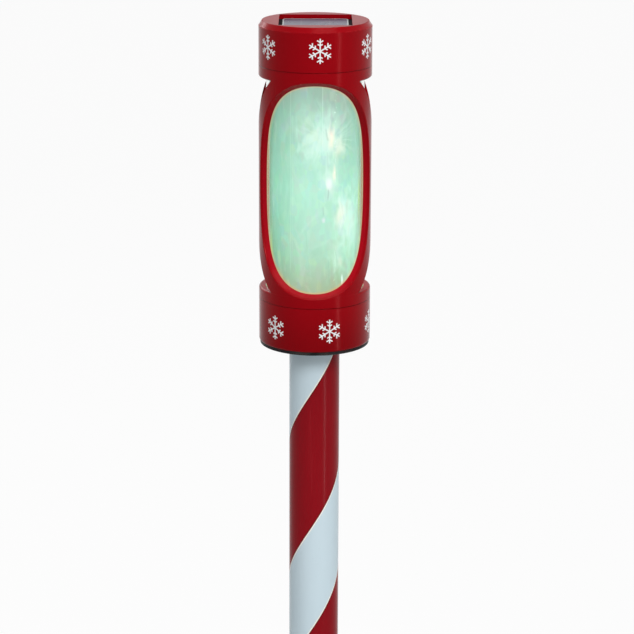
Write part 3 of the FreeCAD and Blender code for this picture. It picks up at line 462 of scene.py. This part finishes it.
# Painted shade along folds: angle and height of both ends, half width in millimetres, strength.
FOLDS = (
    (-7.5, 786.0, 7.5, 768.0, 0.8, 0.30),
    (13.0, 758.0, 16.5, 748.0, 0.9, 0.35),
    (15.0, 742.0, 16.5, 729.0, 1.1, 0.18),
    (17.0, 716.5, 16.2, 708.0, 0.9, 0.42),
    (10.0, 705.0, 10.8, 697.0, 0.9, 0.25),
    (24.0, 676.0, 30.0, 664.0, 0.9, 0.25),
    (17.0, 668.0, 19.0, 650.0, 0.7, 0.25),
)
FILM_TONES = (
    (0.00, rgb(0.34, 0.41, 0.21)),
    (0.12, rgb(0.38, 0.52, 0.34)),
    (0.20, rgb(0.40, 0.67, 0.48)),
    (0.32, rgb(0.43, 0.77, 0.59)),
    (0.52, rgb(0.46, 0.86, 0.67)),
    (0.68, rgb(0.41, 0.74, 0.58)),
    (0.82, rgb(0.37, 0.62, 0.50)),
    (0.92, rgb(0.32, 0.47, 0.38)),
    (1.00, rgb(0.29, 0.40, 0.32)),
)
LINE_FADE = 8.0
FOLD_FADE = 2.0
# Angles between which painted shade dims the film's light from the middle to the sides, and the
# pink fades from the left to the right
AWAY = (10.0, 72.0)
LEFT_TO_RIGHT = (-25.0, 25.0)
PINK_PART = (715.0, 760.0)
# Painted rays of light and shade from small folds: angle and height of their middle, and the
# radii between which they start and end
RAY_ANGLE = 17.0
RAY_HEIGHT = 751.0
RAY_START = (3.0, 8.0)
RAY_END = (12.0, 26.0)
RAY_WOBBLE = 9.0
# Painted yellow-green bands of light: angle and half width, then height and half height, or fading
# heights
RIGHT_BAND = (70.0, 6.0)
RIGHT_BAND_HEIGHT = (706.0, 26.0)
LEFT_BAND = (-69.0, 7.0)
LEFT_BAND_FADE = (650.0, 705.0)


def film_light():
    """Painted glow of the lit film: mint in the middle, greyer above, yellower below, with painted
    hot spots and painted shade in its folds.
    """
    finish = Finish("film_light")
    across, along, up = finish.axes()
    front = finish.azimuth(across, along)
    back = finish.azimuth(0 - across, 0 - along)
    crumple = finish.folds(62.0, (1.0, 1.0, 0.55))
    small_crumple = finish.folds(150.0, (1.0, 1.0, 0.7))
    haze = finish.clouds(30.0, 3.0, (1.0, 1.0, 0.5), 0.8)
    veins = finish.clouds(120.0, 4.0, (1.0, 1.0, 0.28), 1.6)
    ends = {"Value": up, "From Min": FILM_FOOT, "From Max": FILM_TOP}
    level = finish.node("ShaderNodeMapRange", None, ends) + (haze - 0.5) * 0.16
    glow = finish.node("ShaderNodeValToRGB", {"stops": FILM_TONES}, {"Fac": level})
    turned = finish.math("ABSOLUTE", front)
    turned = finish.math("MINIMUM", turned, 180 - turned)
    left = 1 - finish.step(front, *LEFT_TO_RIGHT)
    side_shade = finish.step(turned, *AWAY) * (0.45 + left * 0.45)
    glow = finish.shade(side_shade, glow, AWAY_SHADE_TINT)
    pink = finish.step(haze, 0.48, 0.64) * finish.step(up, *PINK_PART) * left
    glow = finish.mix(pink * 0.35, glow, PINK_GREY)
    glow = finish.mix(finish.step(veins, 0.50, 0.66) * 0.10, glow, PALE_MINT)
    glow = finish.mix(finish.step(0.5 - veins, 0.02, 0.14) * 0.15, glow, FOLD_SHADE_GREEN)

    # Painted rays of light and shade, from small folds, round the brightest place
    ray_across = (front - RAY_ANGLE) * FILM_ARC + (veins - 0.5) * RAY_WOBBLE
    ray_up = up - RAY_HEIGHT + (haze - 0.5) * RAY_WOBBLE
    ray = finish.node("ShaderNodeCombineXYZ", None, {"X": ray_across, "Y": ray_up})
    ray = finish.node("ShaderNodeVectorMath", {"operation": "NORMALIZE"}, {"Vector": ray})
    rays = finish.node("ShaderNodeTexNoise", None, {"Vector": ray, "Scale": 5.5, "Detail": 3.0})
    reach = finish.radius(ray_across, ray_up)
    near = finish.step(reach, *RAY_START) * (1 - finish.step(reach, *RAY_END))
    glow = finish.mix(near * finish.step(rays, 0.48, 0.66) * 0.20, glow, WHITE_MINT)
    glow = finish.mix(near * finish.step(0.5 - rays, 0.0, 0.14) * 0.10, glow, FOLD_SHADE_GREEN)

    for angle, spots in ((front, FRONT_SPOTS), (back, BACK_SPOTS)):
        for centre, height, half_width, half_height, strength, colour in spots:
            wide = (angle - centre) / half_width
            high = (up - height) / half_height
            ragged = (small_crumple - 0.25) * 0.7 + (veins - 0.5) * 1.4
            distance = finish.radius(wide, high) + ragged
            share = 1 - finish.step(distance, 0.05, 1.05)
            glow = finish.mix(share * strength, glow, colour)

    # Painted light on the facets between the creases
    creased = finish.step(crumple, 0.0, 0.07)
    glow = finish.mix((1 - creased) * finish.step(haze, 0.42, 0.60) * 0.12, glow, WHITE_MINT)
    # Painted shade along the folds
    for low_angle, low_up, high_angle, high_up, half_width, strength in FOLDS:
        run_across = (high_angle - low_angle) * FILM_ARC
        run_up = high_up - low_up
        length = math.hypot(run_across, run_up)
        from_across = (front - low_angle) * FILM_ARC
        from_up = up - low_up
        along_fold = (from_across * run_across + from_up * run_up) / length
        off_fold = (from_across * run_up - from_up * run_across) / length + (veins - 0.5) * 1.5
        inside = finish.within(along_fold, 0.0, length, FOLD_FADE)
        share = inside * finish.line(off_fold, 0.0, half_width) * strength
        glow = finish.mix(share, glow, FOLD_SHADE_GREEN)
    for angle, low_up, high_up, half_width, strength in FILM_LINES:
        inside = finish.within(up, low_up, high_up, LINE_FADE)
        share = inside * finish.line(front, angle, half_width) * strength
        glow = finish.mix(share, glow, WHITE_MINT)

    # Thin painted bands of yellow-green light where the film turns away beside the front window
    right_band = finish.line(front, *RIGHT_BAND) * finish.line(up, *RIGHT_BAND_HEIGHT)
    left_band = finish.line(front, *LEFT_BAND) * (1 - finish.step(up, *LEFT_BAND_FADE))
    glow = finish.mix(finish.either(right_band, left_band) * 0.75, glow, LIME)

    # Small facets of the crumpled sheet each have a slightly different hue
    hue = finish.cells(260.0, (1.0, 1.0, 0.7), output="Color")
    glow = finish.mix(finish.step(veins, 0.35, 0.60) * 0.07, glow, hue)

    shader = finish.principled(
        Base_Color=finish.mix(haze, FILM_SHEEN_GREEN, FILM_SHEEN_PINK),
        Roughness=0.30 + haze * 0.20,
        Specular_IOR_Level=0.05,
        Thin_Film_Thickness=420.0,
        Thin_Film_IOR=1.2,
        Normal=finish.bump(crumple + small_crumple * 0.4, 0.10 * MM),
        Emission_Color=glow,
        Emission_Strength=0.97,
    )
    return finish.done(shader)


FILM_COLUMNS = 260
FILM_ROWS = 150
FILM_CLEARANCE = 0.05 * MM
LAP_THICKNESS = 0.25 * MM
CRUMPLE_DEPTH = 0.55 * MM
CRUMPLE_HEIGHT = 34 * MM
CRUMPLES_ROUND = 1.5
CALM_AT_SIDES = 0.25


def film_roll():
    """The film: a sheet rolled inside the tube, crumpled, with one edge lapped over the other."""
    low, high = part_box("film_liner")
    lap = math.radians(LAP)
    start = math.radians(LAP_ANGLE)
    mesh = bmesh.new()
    bmesh.ops.create_grid(mesh, x_segments=FILM_COLUMNS, y_segments=FILM_ROWS, size=1.0)
    for vertex in mesh.verts:
        share = (vertex.co.x + 1) / 2
        turn = start + (math.tau + lap) * share
        height = low.z + (high.z - low.z) * (vertex.co.y + 1) / 2
        # Flatter folds where the sheet is seen edge on, at the sides of the windows
        depth = CALM_AT_SIDES + (1 - CALM_AT_SIDES) * abs(math.cos(turn)) ** 2
        across = math.sin(turn)
        along = -math.cos(turn)
        place = Vector((across * CRUMPLES_ROUND, along * CRUMPLES_ROUND, height / CRUMPLE_HEIGHT))
        folds = noise.turbulence(place, 3, True, noise_basis="PERLIN_ORIGINAL")
        reach = high.x - FILM_CLEARANCE - LAP_THICKNESS * share
        reach = reach - CRUMPLE_DEPTH * depth * min(folds, 1.0)
        vertex.co = (across * reach, along * reach, height)
    bmesh.ops.recalc_face_normals(mesh, faces=mesh.faces)
    return finished(mesh, "film_roll", film_light(), "head", "iridescent_film", "film_liner")


# Other plastics, rubber and ink


def moulded(name, tones, roughness, specular, grain, dust=None):
    """Moulded surface: slow drifts of tone, a grain and its depth, and sometimes settled dust."""
    finish = Finish(name)
    drift = finish.clouds(40.0, 3.0)
    fine = finish.clouds(1100.0, 3.0)
    pits = finish.step(finish.clouds(620.0, 2.0), 0.64, 0.74)
    colour = finish.mix(drift * 0.7 + fine * 0.3, *tones)
    if dust:
        settled = finish.step(finish.clouds(75.0, 5.0, distortion=0.5), 0.50, 0.72)
        colour = finish.mix(settled * 0.35, colour, dust)
    shader = finish.principled(
        Base_Color=colour,
        Roughness=roughness + fine * 0.12 + pits * 0.08,
        Specular_IOR_Level=specular,
        Normal=finish.bump(fine + pits * 0.5, grain),
    )
    return finish.done(shader)


SPIKE_BLACK_DULL = rgb(0.008, 0.008, 0.009)
SPIKE_BLACK = rgb(0.016, 0.016, 0.017)
SCRAPED_BLACK = rgb(0.05, 0.05, 0.05)
CAKED_EARTH = rgb(0.075, 0.052, 0.034)
EARTH_FADE = (-60.0, 5.0)


def spike_plastic():
    """Black plastic of the ground spike, scraped and earthy towards its tip."""
    finish = Finish("spike_plastic")
    up = finish.axes()[2]
    fine = finish.clouds(900.0, 3.0)
    earth = finish.step(finish.clouds(55.0, 6.0, distortion=0.4), 0.45, 0.60)
    buried = 1 - finish.step(up, *EARTH_FADE)
    scrape = finish.step(finish.clouds(300.0, 4.0, (1.0, 1.0, 0.05)), 0.58, 0.70)
    colour = finish.mix(fine, SPIKE_BLACK_DULL, SPIKE_BLACK)
    colour = finish.mix(scrape * buried * 0.5, colour, SCRAPED_BLACK)
    colour = finish.mix(earth * buried * 0.6, colour, CAKED_EARTH)
    shader = finish.principled(
        Base_Color=colour,
        Roughness=0.42 + fine * 0.12 + earth * buried * 0.3,
        Specular_IOR_Level=0.3,
        Normal=finish.bump(fine * 0.4 + earth * buried + scrape * 0.5, 0.08 * MM),
    )
    return finish.done(shader)


# Outline of the windows, at whose edge a glow is painted on the clear tube: it is a rounded oval.
# Its half width is an angle, its half height a length, and its roundness the power of both.

WINDOW_HALF_ANGLE = 75.8
WINDOW_MIDDLE = 715.05
WINDOW_HALF_HEIGHT = 70.8
WINDOW_ROUND = 2.22
# Where the painted glow of the rim starts and ends, as shares of the outline
RIM_START = (0.962, 0.982)
RIM_END = (1.05, 1.12)
CLEAR_TINT = rgb(0.97, 1.0, 0.985)
WARM_GLOW_TINT = rgb(1.0, 0.90, 0.80)
WARM_GLOW = rgb(0.09, 0.030, 0.010)


def clear_plastic(name):
    """Clear wall, faintly wavy, with hairline scratches and a painted warm glow along the windows.
    """
    finish = Finish(name)
    across, along, up = finish.axes()
    wave = finish.clouds(25.0, 2.0, (1.0, 1.0, 0.4))
    hair = finish.step(finish.clouds(340.0, 4.0, (1.0, 1.0, 0.04)), 0.66, 0.74)
    front = finish.math("ABSOLUTE", finish.azimuth(across, along))
    front = finish.math("MINIMUM", front, 180 - front)
    wide = finish.math("POWER", front / WINDOW_HALF_ANGLE, WINDOW_ROUND)
    high = finish.math("ABSOLUTE", up - WINDOW_MIDDLE) / WINDOW_HALF_HEIGHT
    out = wide + finish.math("POWER", high, WINDOW_ROUND)
    # A painted warm glow along the windows' rim
    rim = finish.step(out, *RIM_START) * (1 - finish.step(out, *RIM_END))
    rim = rim * (0.75 + wave * 0.5)
    shader = finish.principled(
        Base_Color=finish.mix(rim, CLEAR_TINT, WARM_GLOW_TINT),
        Roughness=0.015 + wave * 0.02 + hair * 0.06,
        Transmission_Weight=1.0,
        IOR=1.30,
        Specular_IOR_Level=0.2,
        Specular_Tint=rgb(0.04, 0.04, 0.04),
        Emission_Color=finish.mix(rim, UNLIT, WARM_GLOW),
        Emission_Strength=1.0,
        Normal=finish.bump(wave, 0.05 * MM),
    )
    return finish.done(shader)


# Solar panel. Its resin border starts where the cells' rounded corners end.

BORDER_START = 18.8
BORDER_ROUND = 2.5
BORDER_SOFT = 0.1
END_BORDER = 1.2
FINGER_HALF_PITCH = 0.9
FINGER_HALF_WIDTH = 0.11
BAR_PLACE = 9.6
BAR_HALF_WIDTH = 0.5
GAP_HALF_WIDTH = 0.35
CELL_DARK = rgb(0.010, 0.014, 0.040)
CELL_BLUE = rgb(0.022, 0.030, 0.075)
CELL_VIOLET = rgb(0.030, 0.022, 0.060)
SILVER = rgb(0.30, 0.31, 0.33)
GAP_GREY = rgb(0.10, 0.11, 0.13)
RESIN_GREY = rgb(0.30, 0.34, 0.34)


def solar_cells():
    """Dark cells with silver fingers and two bars under clear resin, with a light resin border."""
    finish = Finish("solar_cells")
    across, along = finish.axes()[:2]
    beside = finish.math("ABSOLUTE", across) - BORDER_START
    beyond = finish.math("ABSOLUTE", along) - BORDER_START + END_BORDER
    outside = finish.radius(finish.either(beside, 0.0), finish.either(beyond, 0.0))
    border = finish.step(outside, BORDER_ROUND - BORDER_SOFT, BORDER_ROUND + BORDER_SOFT)
    fingers = finish.repeated(along, FINGER_HALF_PITCH, FINGER_HALF_WIDTH)
    bars = finish.line(finish.math("ABSOLUTE", across), BAR_PLACE, BAR_HALF_WIDTH)
    cell_gap = finish.line(finish.math("ABSOLUTE", along), 0.0, GAP_HALF_WIDTH)
    crystals = finish.cells(230.0)
    cloud = finish.clouds(45.0, 3.0)
    cell = finish.mix(crystals, CELL_DARK, CELL_BLUE)
    cell = finish.mix(cloud * 0.4, cell, CELL_VIOLET)
    metal = finish.either(fingers * 0.55, bars * 0.25)
    cell = finish.mix(metal, cell, SILVER)
    cell = finish.mix(cell_gap, cell, GAP_GREY)
    colour = finish.mix(border, cell, RESIN_GREY)
    shader = finish.principled(
        Base_Color=colour,
        Roughness=0.22 + cloud * 0.12,
        Specular_IOR_Level=0.26,
        Normal=finish.bump(cloud + metal * 0.05, 0.03 * MM),
    )
    return finish.done(shader)


# Metal


def steel(name, dull, bright, stretch):
    """Plated steel with brush marks and a few dull spots."""
    finish = Finish(name)
    brushed = finish.clouds(1300.0, 3.0, stretch)
    spots = finish.step(finish.clouds(260.0, 4.0), 0.56, 0.72)
    shader = finish.principled(
        Base_Color=finish.mix(brushed * 0.6 + spots * 0.4, bright, dull),
        Metallic=1.0,
        Roughness=0.24 + brushed * 0.14 + spots * 0.16,
        Normal=finish.bump(brushed, 0.01 * MM),
    )
    return finish.done(shader)


# Parts inside the cap

SLEEVE_GREEN_DULL = rgb(0.03, 0.22, 0.11)
SLEEVE_GREEN = rgb(0.045, 0.28, 0.14)
SLEEVE_SILVER = rgb(0.46, 0.48, 0.48)
CELL_STEEL = rgb(0.62, 0.62, 0.63)
SILVER_START = 12.0
# How much of the cell is bare at its nub and at its flat end, and how softly its colours change
NUB_BARE = 1.9
FLAT_BARE = 0.3
NUB_SOFT = 0.2
SILVER_SOFT = 0.3


def battery_wrap():
    """Plain cell: a green sleeve with a silver band near the nub, and bare steel ends."""
    finish = Finish("battery_wrap")
    across = finish.axes()[0]
    low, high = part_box("battery")
    fine = finish.clouds(700.0, 3.0)
    sleeve = finish.mix(fine, SLEEVE_GREEN_DULL, SLEEVE_GREEN)
    band = finish.step(across, SILVER_START, SILVER_START + SILVER_SOFT)
    sleeve = finish.mix(band, sleeve, SLEEVE_SILVER)
    nub_bare = high.x / MM - NUB_BARE
    flat_bare = low.x / MM + FLAT_BARE
    ends = finish.either(
        finish.step(across, nub_bare, nub_bare + NUB_SOFT),
        1 - finish.step(across, flat_bare, flat_bare + NUB_SOFT),
    )
    shader = finish.principled(
        Base_Color=finish.mix(ends, sleeve, CELL_STEEL),
        Metallic=ends,
        Roughness=0.24 + fine * 0.10,
        Normal=finish.bump(fine, 0.01 * MM),
    )
    return finish.done(shader)


TIN = rgb(0.55, 0.55, 0.53)
TRACK_HALF_WIDTH = 0.28
TRACK_WANDER = 2.0
PAD_HALF_WIDTH = 0.55


def board(name, mask_dull, mask, half_pitch):
    """Circuit board: solder mask over faint tracks, a woven core and tinned pads."""
    finish = Finish(name)
    across, along = finish.axes()[:2]
    weave = finish.cells(1500.0)
    wandered = along + (finish.clouds(60.0, 0.0) - 0.5) * TRACK_WANDER
    lane = finish.repeated(wandered, half_pitch, TRACK_HALF_WIDTH)
    pad_across = finish.repeated(across, half_pitch, PAD_HALF_WIDTH)
    pad_along = finish.repeated(along, half_pitch * 2, PAD_HALF_WIDTH)
    pads = finish.step(pad_across * pad_along, 0.35, 0.45)
    colour = finish.mix(weave * 0.5, mask_dull, mask)
    colour = finish.mix(lane * 0.45, colour, tuple(min(1.0, tone * 1.9) for tone in mask))
    shader = finish.principled(
        Base_Color=finish.mix(pads, colour, TIN),
        Metallic=pads,
        Roughness=0.30 + weave * 0.15,
        Normal=finish.bump(pads * 0.6 + lane * 0.4 + weave * 0.1, 0.05 * MM),
    )
    return finish.done(shader)


COPPER_DARK = rgb(0.22, 0.07, 0.025)
COPPER = rgb(0.62, 0.26, 0.11)
CHIP_BLACK_DULL = rgb(0.010, 0.010, 0.011)
CHIP_BLACK = rgb(0.022, 0.022, 0.023)
CAPACITOR_BLUE = rgb(0.02, 0.03, 0.10)
CAPACITOR_CAN = rgb(0.60, 0.60, 0.61)
# Where the coil starts and the capacitor ends across the board, the capacitor's top, and half
# the coil's pitch
COIL_SIDE = (5.5, 5.7)
CAPACITOR_SIDE = (-7.3, -7.1)
CAPACITOR_TOP = (813.3, 813.4)
COIL_HALF_PITCH = 0.22


def board_part_finish():
    """The chip's black resin, the coil's copper turns and the capacitor's dark sleeve, by place."""
    finish = Finish("board_parts")
    across, _, up = finish.axes()
    fine = finish.clouds(1500.0, 3.0)
    coil = finish.step(across, *COIL_SIDE)
    sleeve = 1 - finish.step(across, *CAPACITOR_SIDE)
    turns = finish.math("PINGPONG", up, COIL_HALF_PITCH) / COIL_HALF_PITCH
    copper = finish.mix(turns, COPPER_DARK, COPPER)
    colour = finish.mix(fine, CHIP_BLACK_DULL, CHIP_BLACK)
    colour = finish.mix(sleeve, colour, CAPACITOR_BLUE)
    colour = finish.mix(sleeve * finish.step(up, *CAPACITOR_TOP), colour, CAPACITOR_CAN)
    shader = finish.principled(
        Base_Color=finish.mix(coil, colour, copper),
        Roughness=0.36 + fine * 0.14,
        Normal=finish.bump(fine * 0.1 + turns * coil, 0.06 * MM),
    )
    return finish.done(shader)


RESIN_DULL = rgb(0.72, 0.80, 0.74)
RESIN_CLEAR = rgb(0.82, 0.88, 0.80)
RESIN_DIM = rgb(0.05, 0.08, 0.06)
RESIN_LIT = rgb(0.75, 1.0, 0.85)
RESIN_LIT_FADE = (797.5, 802.5)


def lamp_resin():
    """Clear domed lamps, milky, and bright towards their domes."""
    finish = Finish("lamp_resin")
    up = finish.axes()[2]
    haze = finish.clouds(500.0, 2.0)
    lit = 1 - finish.step(up, *RESIN_LIT_FADE)
    shader = finish.principled(
        Base_Color=finish.mix(haze, RESIN_DULL, RESIN_CLEAR),
        Roughness=0.12 + haze * 0.08,
        Emission_Color=finish.mix(lit, RESIN_DIM, RESIN_LIT),
        Emission_Strength=0.8,
    )
    return finish.done(shader)


WIRE_BLACK_DULL = rgb(0.010, 0.010, 0.010)
WIRE_BLACK = rgb(0.022, 0.022, 0.022)
WIRE_RED_DULL = rgb(0.26, 0.008, 0.008)
WIRE_RED = rgb(0.36, 0.012, 0.012)


def wire_sleeve():
    """Leads: red on the +X side and black on the -X side."""
    finish = Finish("wire_sleeve")
    across = finish.axes()[0]
    fine = finish.clouds(900.0, 3.0)
    black = finish.mix(fine, WIRE_BLACK_DULL, WIRE_BLACK)
    red = finish.mix(fine, WIRE_RED_DULL, WIRE_RED)
    shader = finish.principled(
        Base_Color=finish.mix(finish.step(across, -0.1, 0.1), black, red),
        Roughness=0.38 + fine * 0.12,
        Specular_IOR_Level=0.4,
        Normal=finish.bump(fine, 0.02 * MM),
    )
    return finish.done(shader)


# Dull and clear tones of the plain mouldings
BLACKS = (rgb(0.0045, 0.0045, 0.0050), rgb(0.0110, 0.0110, 0.0120))
WHITES = (rgb(0.70, 0.71, 0.72), rgb(0.80, 0.81, 0.82))
DUST = rgb(0.09, 0.08, 0.07)
STEEL_DULL = rgb(0.30, 0.29, 0.28)
STEEL_BRIGHT = rgb(0.58, 0.58, 0.59)
PLATE_DULL = rgb(0.42, 0.42, 0.42)
PLATE_BRIGHT = rgb(0.66, 0.66, 0.67)
MASK_GREEN_DULL = rgb(0.004, 0.055, 0.022)
MASK_GREEN = rgb(0.010, 0.105, 0.042)
MASK_WHITE_DULL = rgb(0.58, 0.58, 0.57)
MASK_WHITE = rgb(0.72, 0.72, 0.71)
# Heights on the head, and the radii and heights of the upper cap's rims
LOWER_CAP_FOOT = (602.0, 637.0)
LOWER_SEAM = 634.8
LOWER_RING_TOP = 642.5
UPPER_SEAM = 795.3
CAP_TOP = 825.2
UPPER_RIMS = ((35.9, CAP_TOP), (38.2, 821.8))
# Flats: height and how much painted shade darkens them
CAP_FLATS = ((CAP_TOP, 0.35),)
FRAME_FLATS = ((LOWER_RING_TOP, 0.0),)
FRAME_SEAMS = (LOWER_SEAM, UPPER_SEAM)

paint(red_plastic("red_upper_cap", (UPPER_SEAM,), CAP_FLATS, UPPER_RIMS), "solar_cap")
paint(red_plastic("red_lower_cap", (LOWER_SEAM,), foot=LOWER_CAP_FOOT), "bottom_cap")
paint(red_plastic("red_frame", FRAME_SEAMS, FRAME_FLATS, lit_edge=True), "window_frame")
paint(striped(), "lower_pole", "upper_pole")
film_roll()
paint(clear_plastic("clear_tube"), "diffuser_tube", "led_lens")
paint(solar_cells(), "solar_panel")
paint(spike_plastic(), "ground_spike")
# A moulding has its tones, roughness, specular level and the depth of its grain
paint(moulded("black_plastic", BLACKS, 0.36, 0.08, 0.03 * MM, DUST), "base_plate")
inner_black = moulded("inner_black", BLACKS, 0.40, 0.35, 0.04 * MM)
paint(inner_black, "pole_coupler", "inner_cover", "switch_knob")
paint(moulded("rubber", BLACKS, 0.75, 0.03, 0.05 * MM), "cap_seal", "panel_gasket")
white_ink = moulded("white_ink", WHITES, 0.34, 0.25, 0.02 * MM)
paint(white_ink, "lower_snowflakes", "upper_snowflakes")
paint(moulded("white_plastic", WHITES, 0.30, 0.4, 0.02 * MM), "reflector_disc")
# Steel has its tones and how its brush marks are stretched along the axes
screw_steel = steel("screw_steel", STEEL_DULL, STEEL_BRIGHT, (1.0, 1.0, 0.15))
paint(screw_steel, "base_screws", "cover_screws")
plate_steel = steel("plate_steel", PLATE_DULL, PLATE_BRIGHT, (0.1, 1.0, 1.0))
paint(plate_steel, "battery_contacts", "switch_body")
paint(battery_wrap(), "battery")
paint(board("board_green", MASK_GREEN_DULL, MASK_GREEN, half_pitch=1.6), "circuit_board")
paint(board("board_white", MASK_WHITE_DULL, MASK_WHITE, half_pitch=2.1), "led_board")
paint(board_part_finish(), "board_parts")
paint(lamp_resin(), "leds")
paint(wire_sleeve(), "wires")


# Camera, floor and light

CAMERA_PLACE = (1.7 * MM, -1613.8 * MM, 1063.0 * MM)
CAMERA_DOWN = 15.38
CAMERA_ROLL = 0.195
SENSOR_WIDTH = 36.0
LENS = 137.53
VIEW_END = 200.0
FLOOR_GREY = rgb(0.6, 0.6, 0.6)
FLOOR_HALF_WIDTH = 40.0
FLOOR_WHITENESS = 0.95
WORLD_LIGHT = 0.30
# Each lamp has its name, place, height that it aims at, width, height and watts
LAMPS = (
    ("key", (0.60, -2.15, 2.20), 0.65, 0.8, 0.8, 38),
    ("top", (0.30, -0.55, 2.60), 0.65, 1.2, 1.2, 22),
    ("fill", (-2.4, -1.6, 1.6), 0.65, 1.6, 1.6, 8),
    ("back", (-1.2, 2.2, 2.2), 0.65, 1.8, 1.8, 32),
    ("strip", (1.22, -1.06, 0.38), 0.75, 0.10, 0.9, 3.0),
)


def camera():
    """A long lens in front of the head, looking down at it."""
    data = bpy.data.cameras.new("camera")
    data.sensor_width = SENSOR_WIDTH
    data.lens = LENS
    data.clip_end = VIEW_END
    camera_object = placed("camera", data)
    tilt = Matrix.Rotation(math.radians(90 - CAMERA_DOWN), 4, "X")
    roll = Matrix.Rotation(math.radians(CAMERA_ROLL), 4, "Z")
    camera_object.matrix_world = Matrix.Translation(CAMERA_PLACE) @ tilt @ roll
    bpy.context.scene.camera = camera_object


def seen_rays(nodes):
    """One for rays that see the white background: direct, off gloss or through clear plastic."""
    paths = nodes.node("ShaderNodeLightPath").socket.node.outputs
    seen = Value(nodes, paths["Is Camera Ray"])
    for name in ("Is Glossy Ray", "Is Transmission Ray"):
        seen = nodes.either(seen, Value(nodes, paths[name]))
    return seen


def lamp(name, place, aim_height, width, height, watts):
    """A soft rectangular lamp, aimed at the pole's axis."""
    data = bpy.data.lights.new(name, "AREA")
    data.shape = "RECTANGLE"
    data.size = width
    data.size_y = height
    data.energy = watts
    turn = (Vector((0, 0, aim_height)) - Vector(place)).to_track_quat("-Z", "Y")
    placed(name, data).matrix_world = Matrix.Translation(place) @ turn.to_matrix().to_4x4()


def floor():
    """A wide pale floor that looks white but keeps the object's shadow."""
    mesh = bmesh.new()
    bmesh.ops.create_grid(mesh, x_segments=1, y_segments=1, size=FLOOR_HALF_WIDTH)
    bmesh.ops.translate(mesh, verts=mesh.verts, vec=(0, 0, cad_bounds[0].z))
    finish = Finish("floor")
    matt = finish.node("ShaderNodeBsdfDiffuse", None, {"Color": FLOOR_GREY})
    white = finish.node("ShaderNodeEmission", None, {"Color": WHITE, "Strength": 1.0})
    sockets = {"Fac": seen_rays(finish) * FLOOR_WHITENESS, "Shader": matt, "Shader_001": white}
    made = meshed(mesh, "floor", finish.done(finish.node("ShaderNodeMixShader", None, sockets)))


def world():
    """A white world, dimmer for the light it throws than for what is seen of it."""
    studio = bpy.data.worlds.new("studio")
    bpy.context.scene.world = studio
    studio.use_nodes = True
    nodes = Nodes(studio.node_tree)
    strength = seen_rays(nodes) * (1 - WORLD_LIGHT) + WORLD_LIGHT
    sky = nodes.node("ShaderNodeBackground", None, {"Color": WHITE, "Strength": strength})
    nodes.node("ShaderNodeOutputWorld", None, {"Surface": sky})


camera()
floor()
world()
for lamp_settings in LAMPS:
    lamp(*lamp_settings)
bpy.context.scene.view_settings.view_transform = "Standard"

bpy.context.view_layer.update()
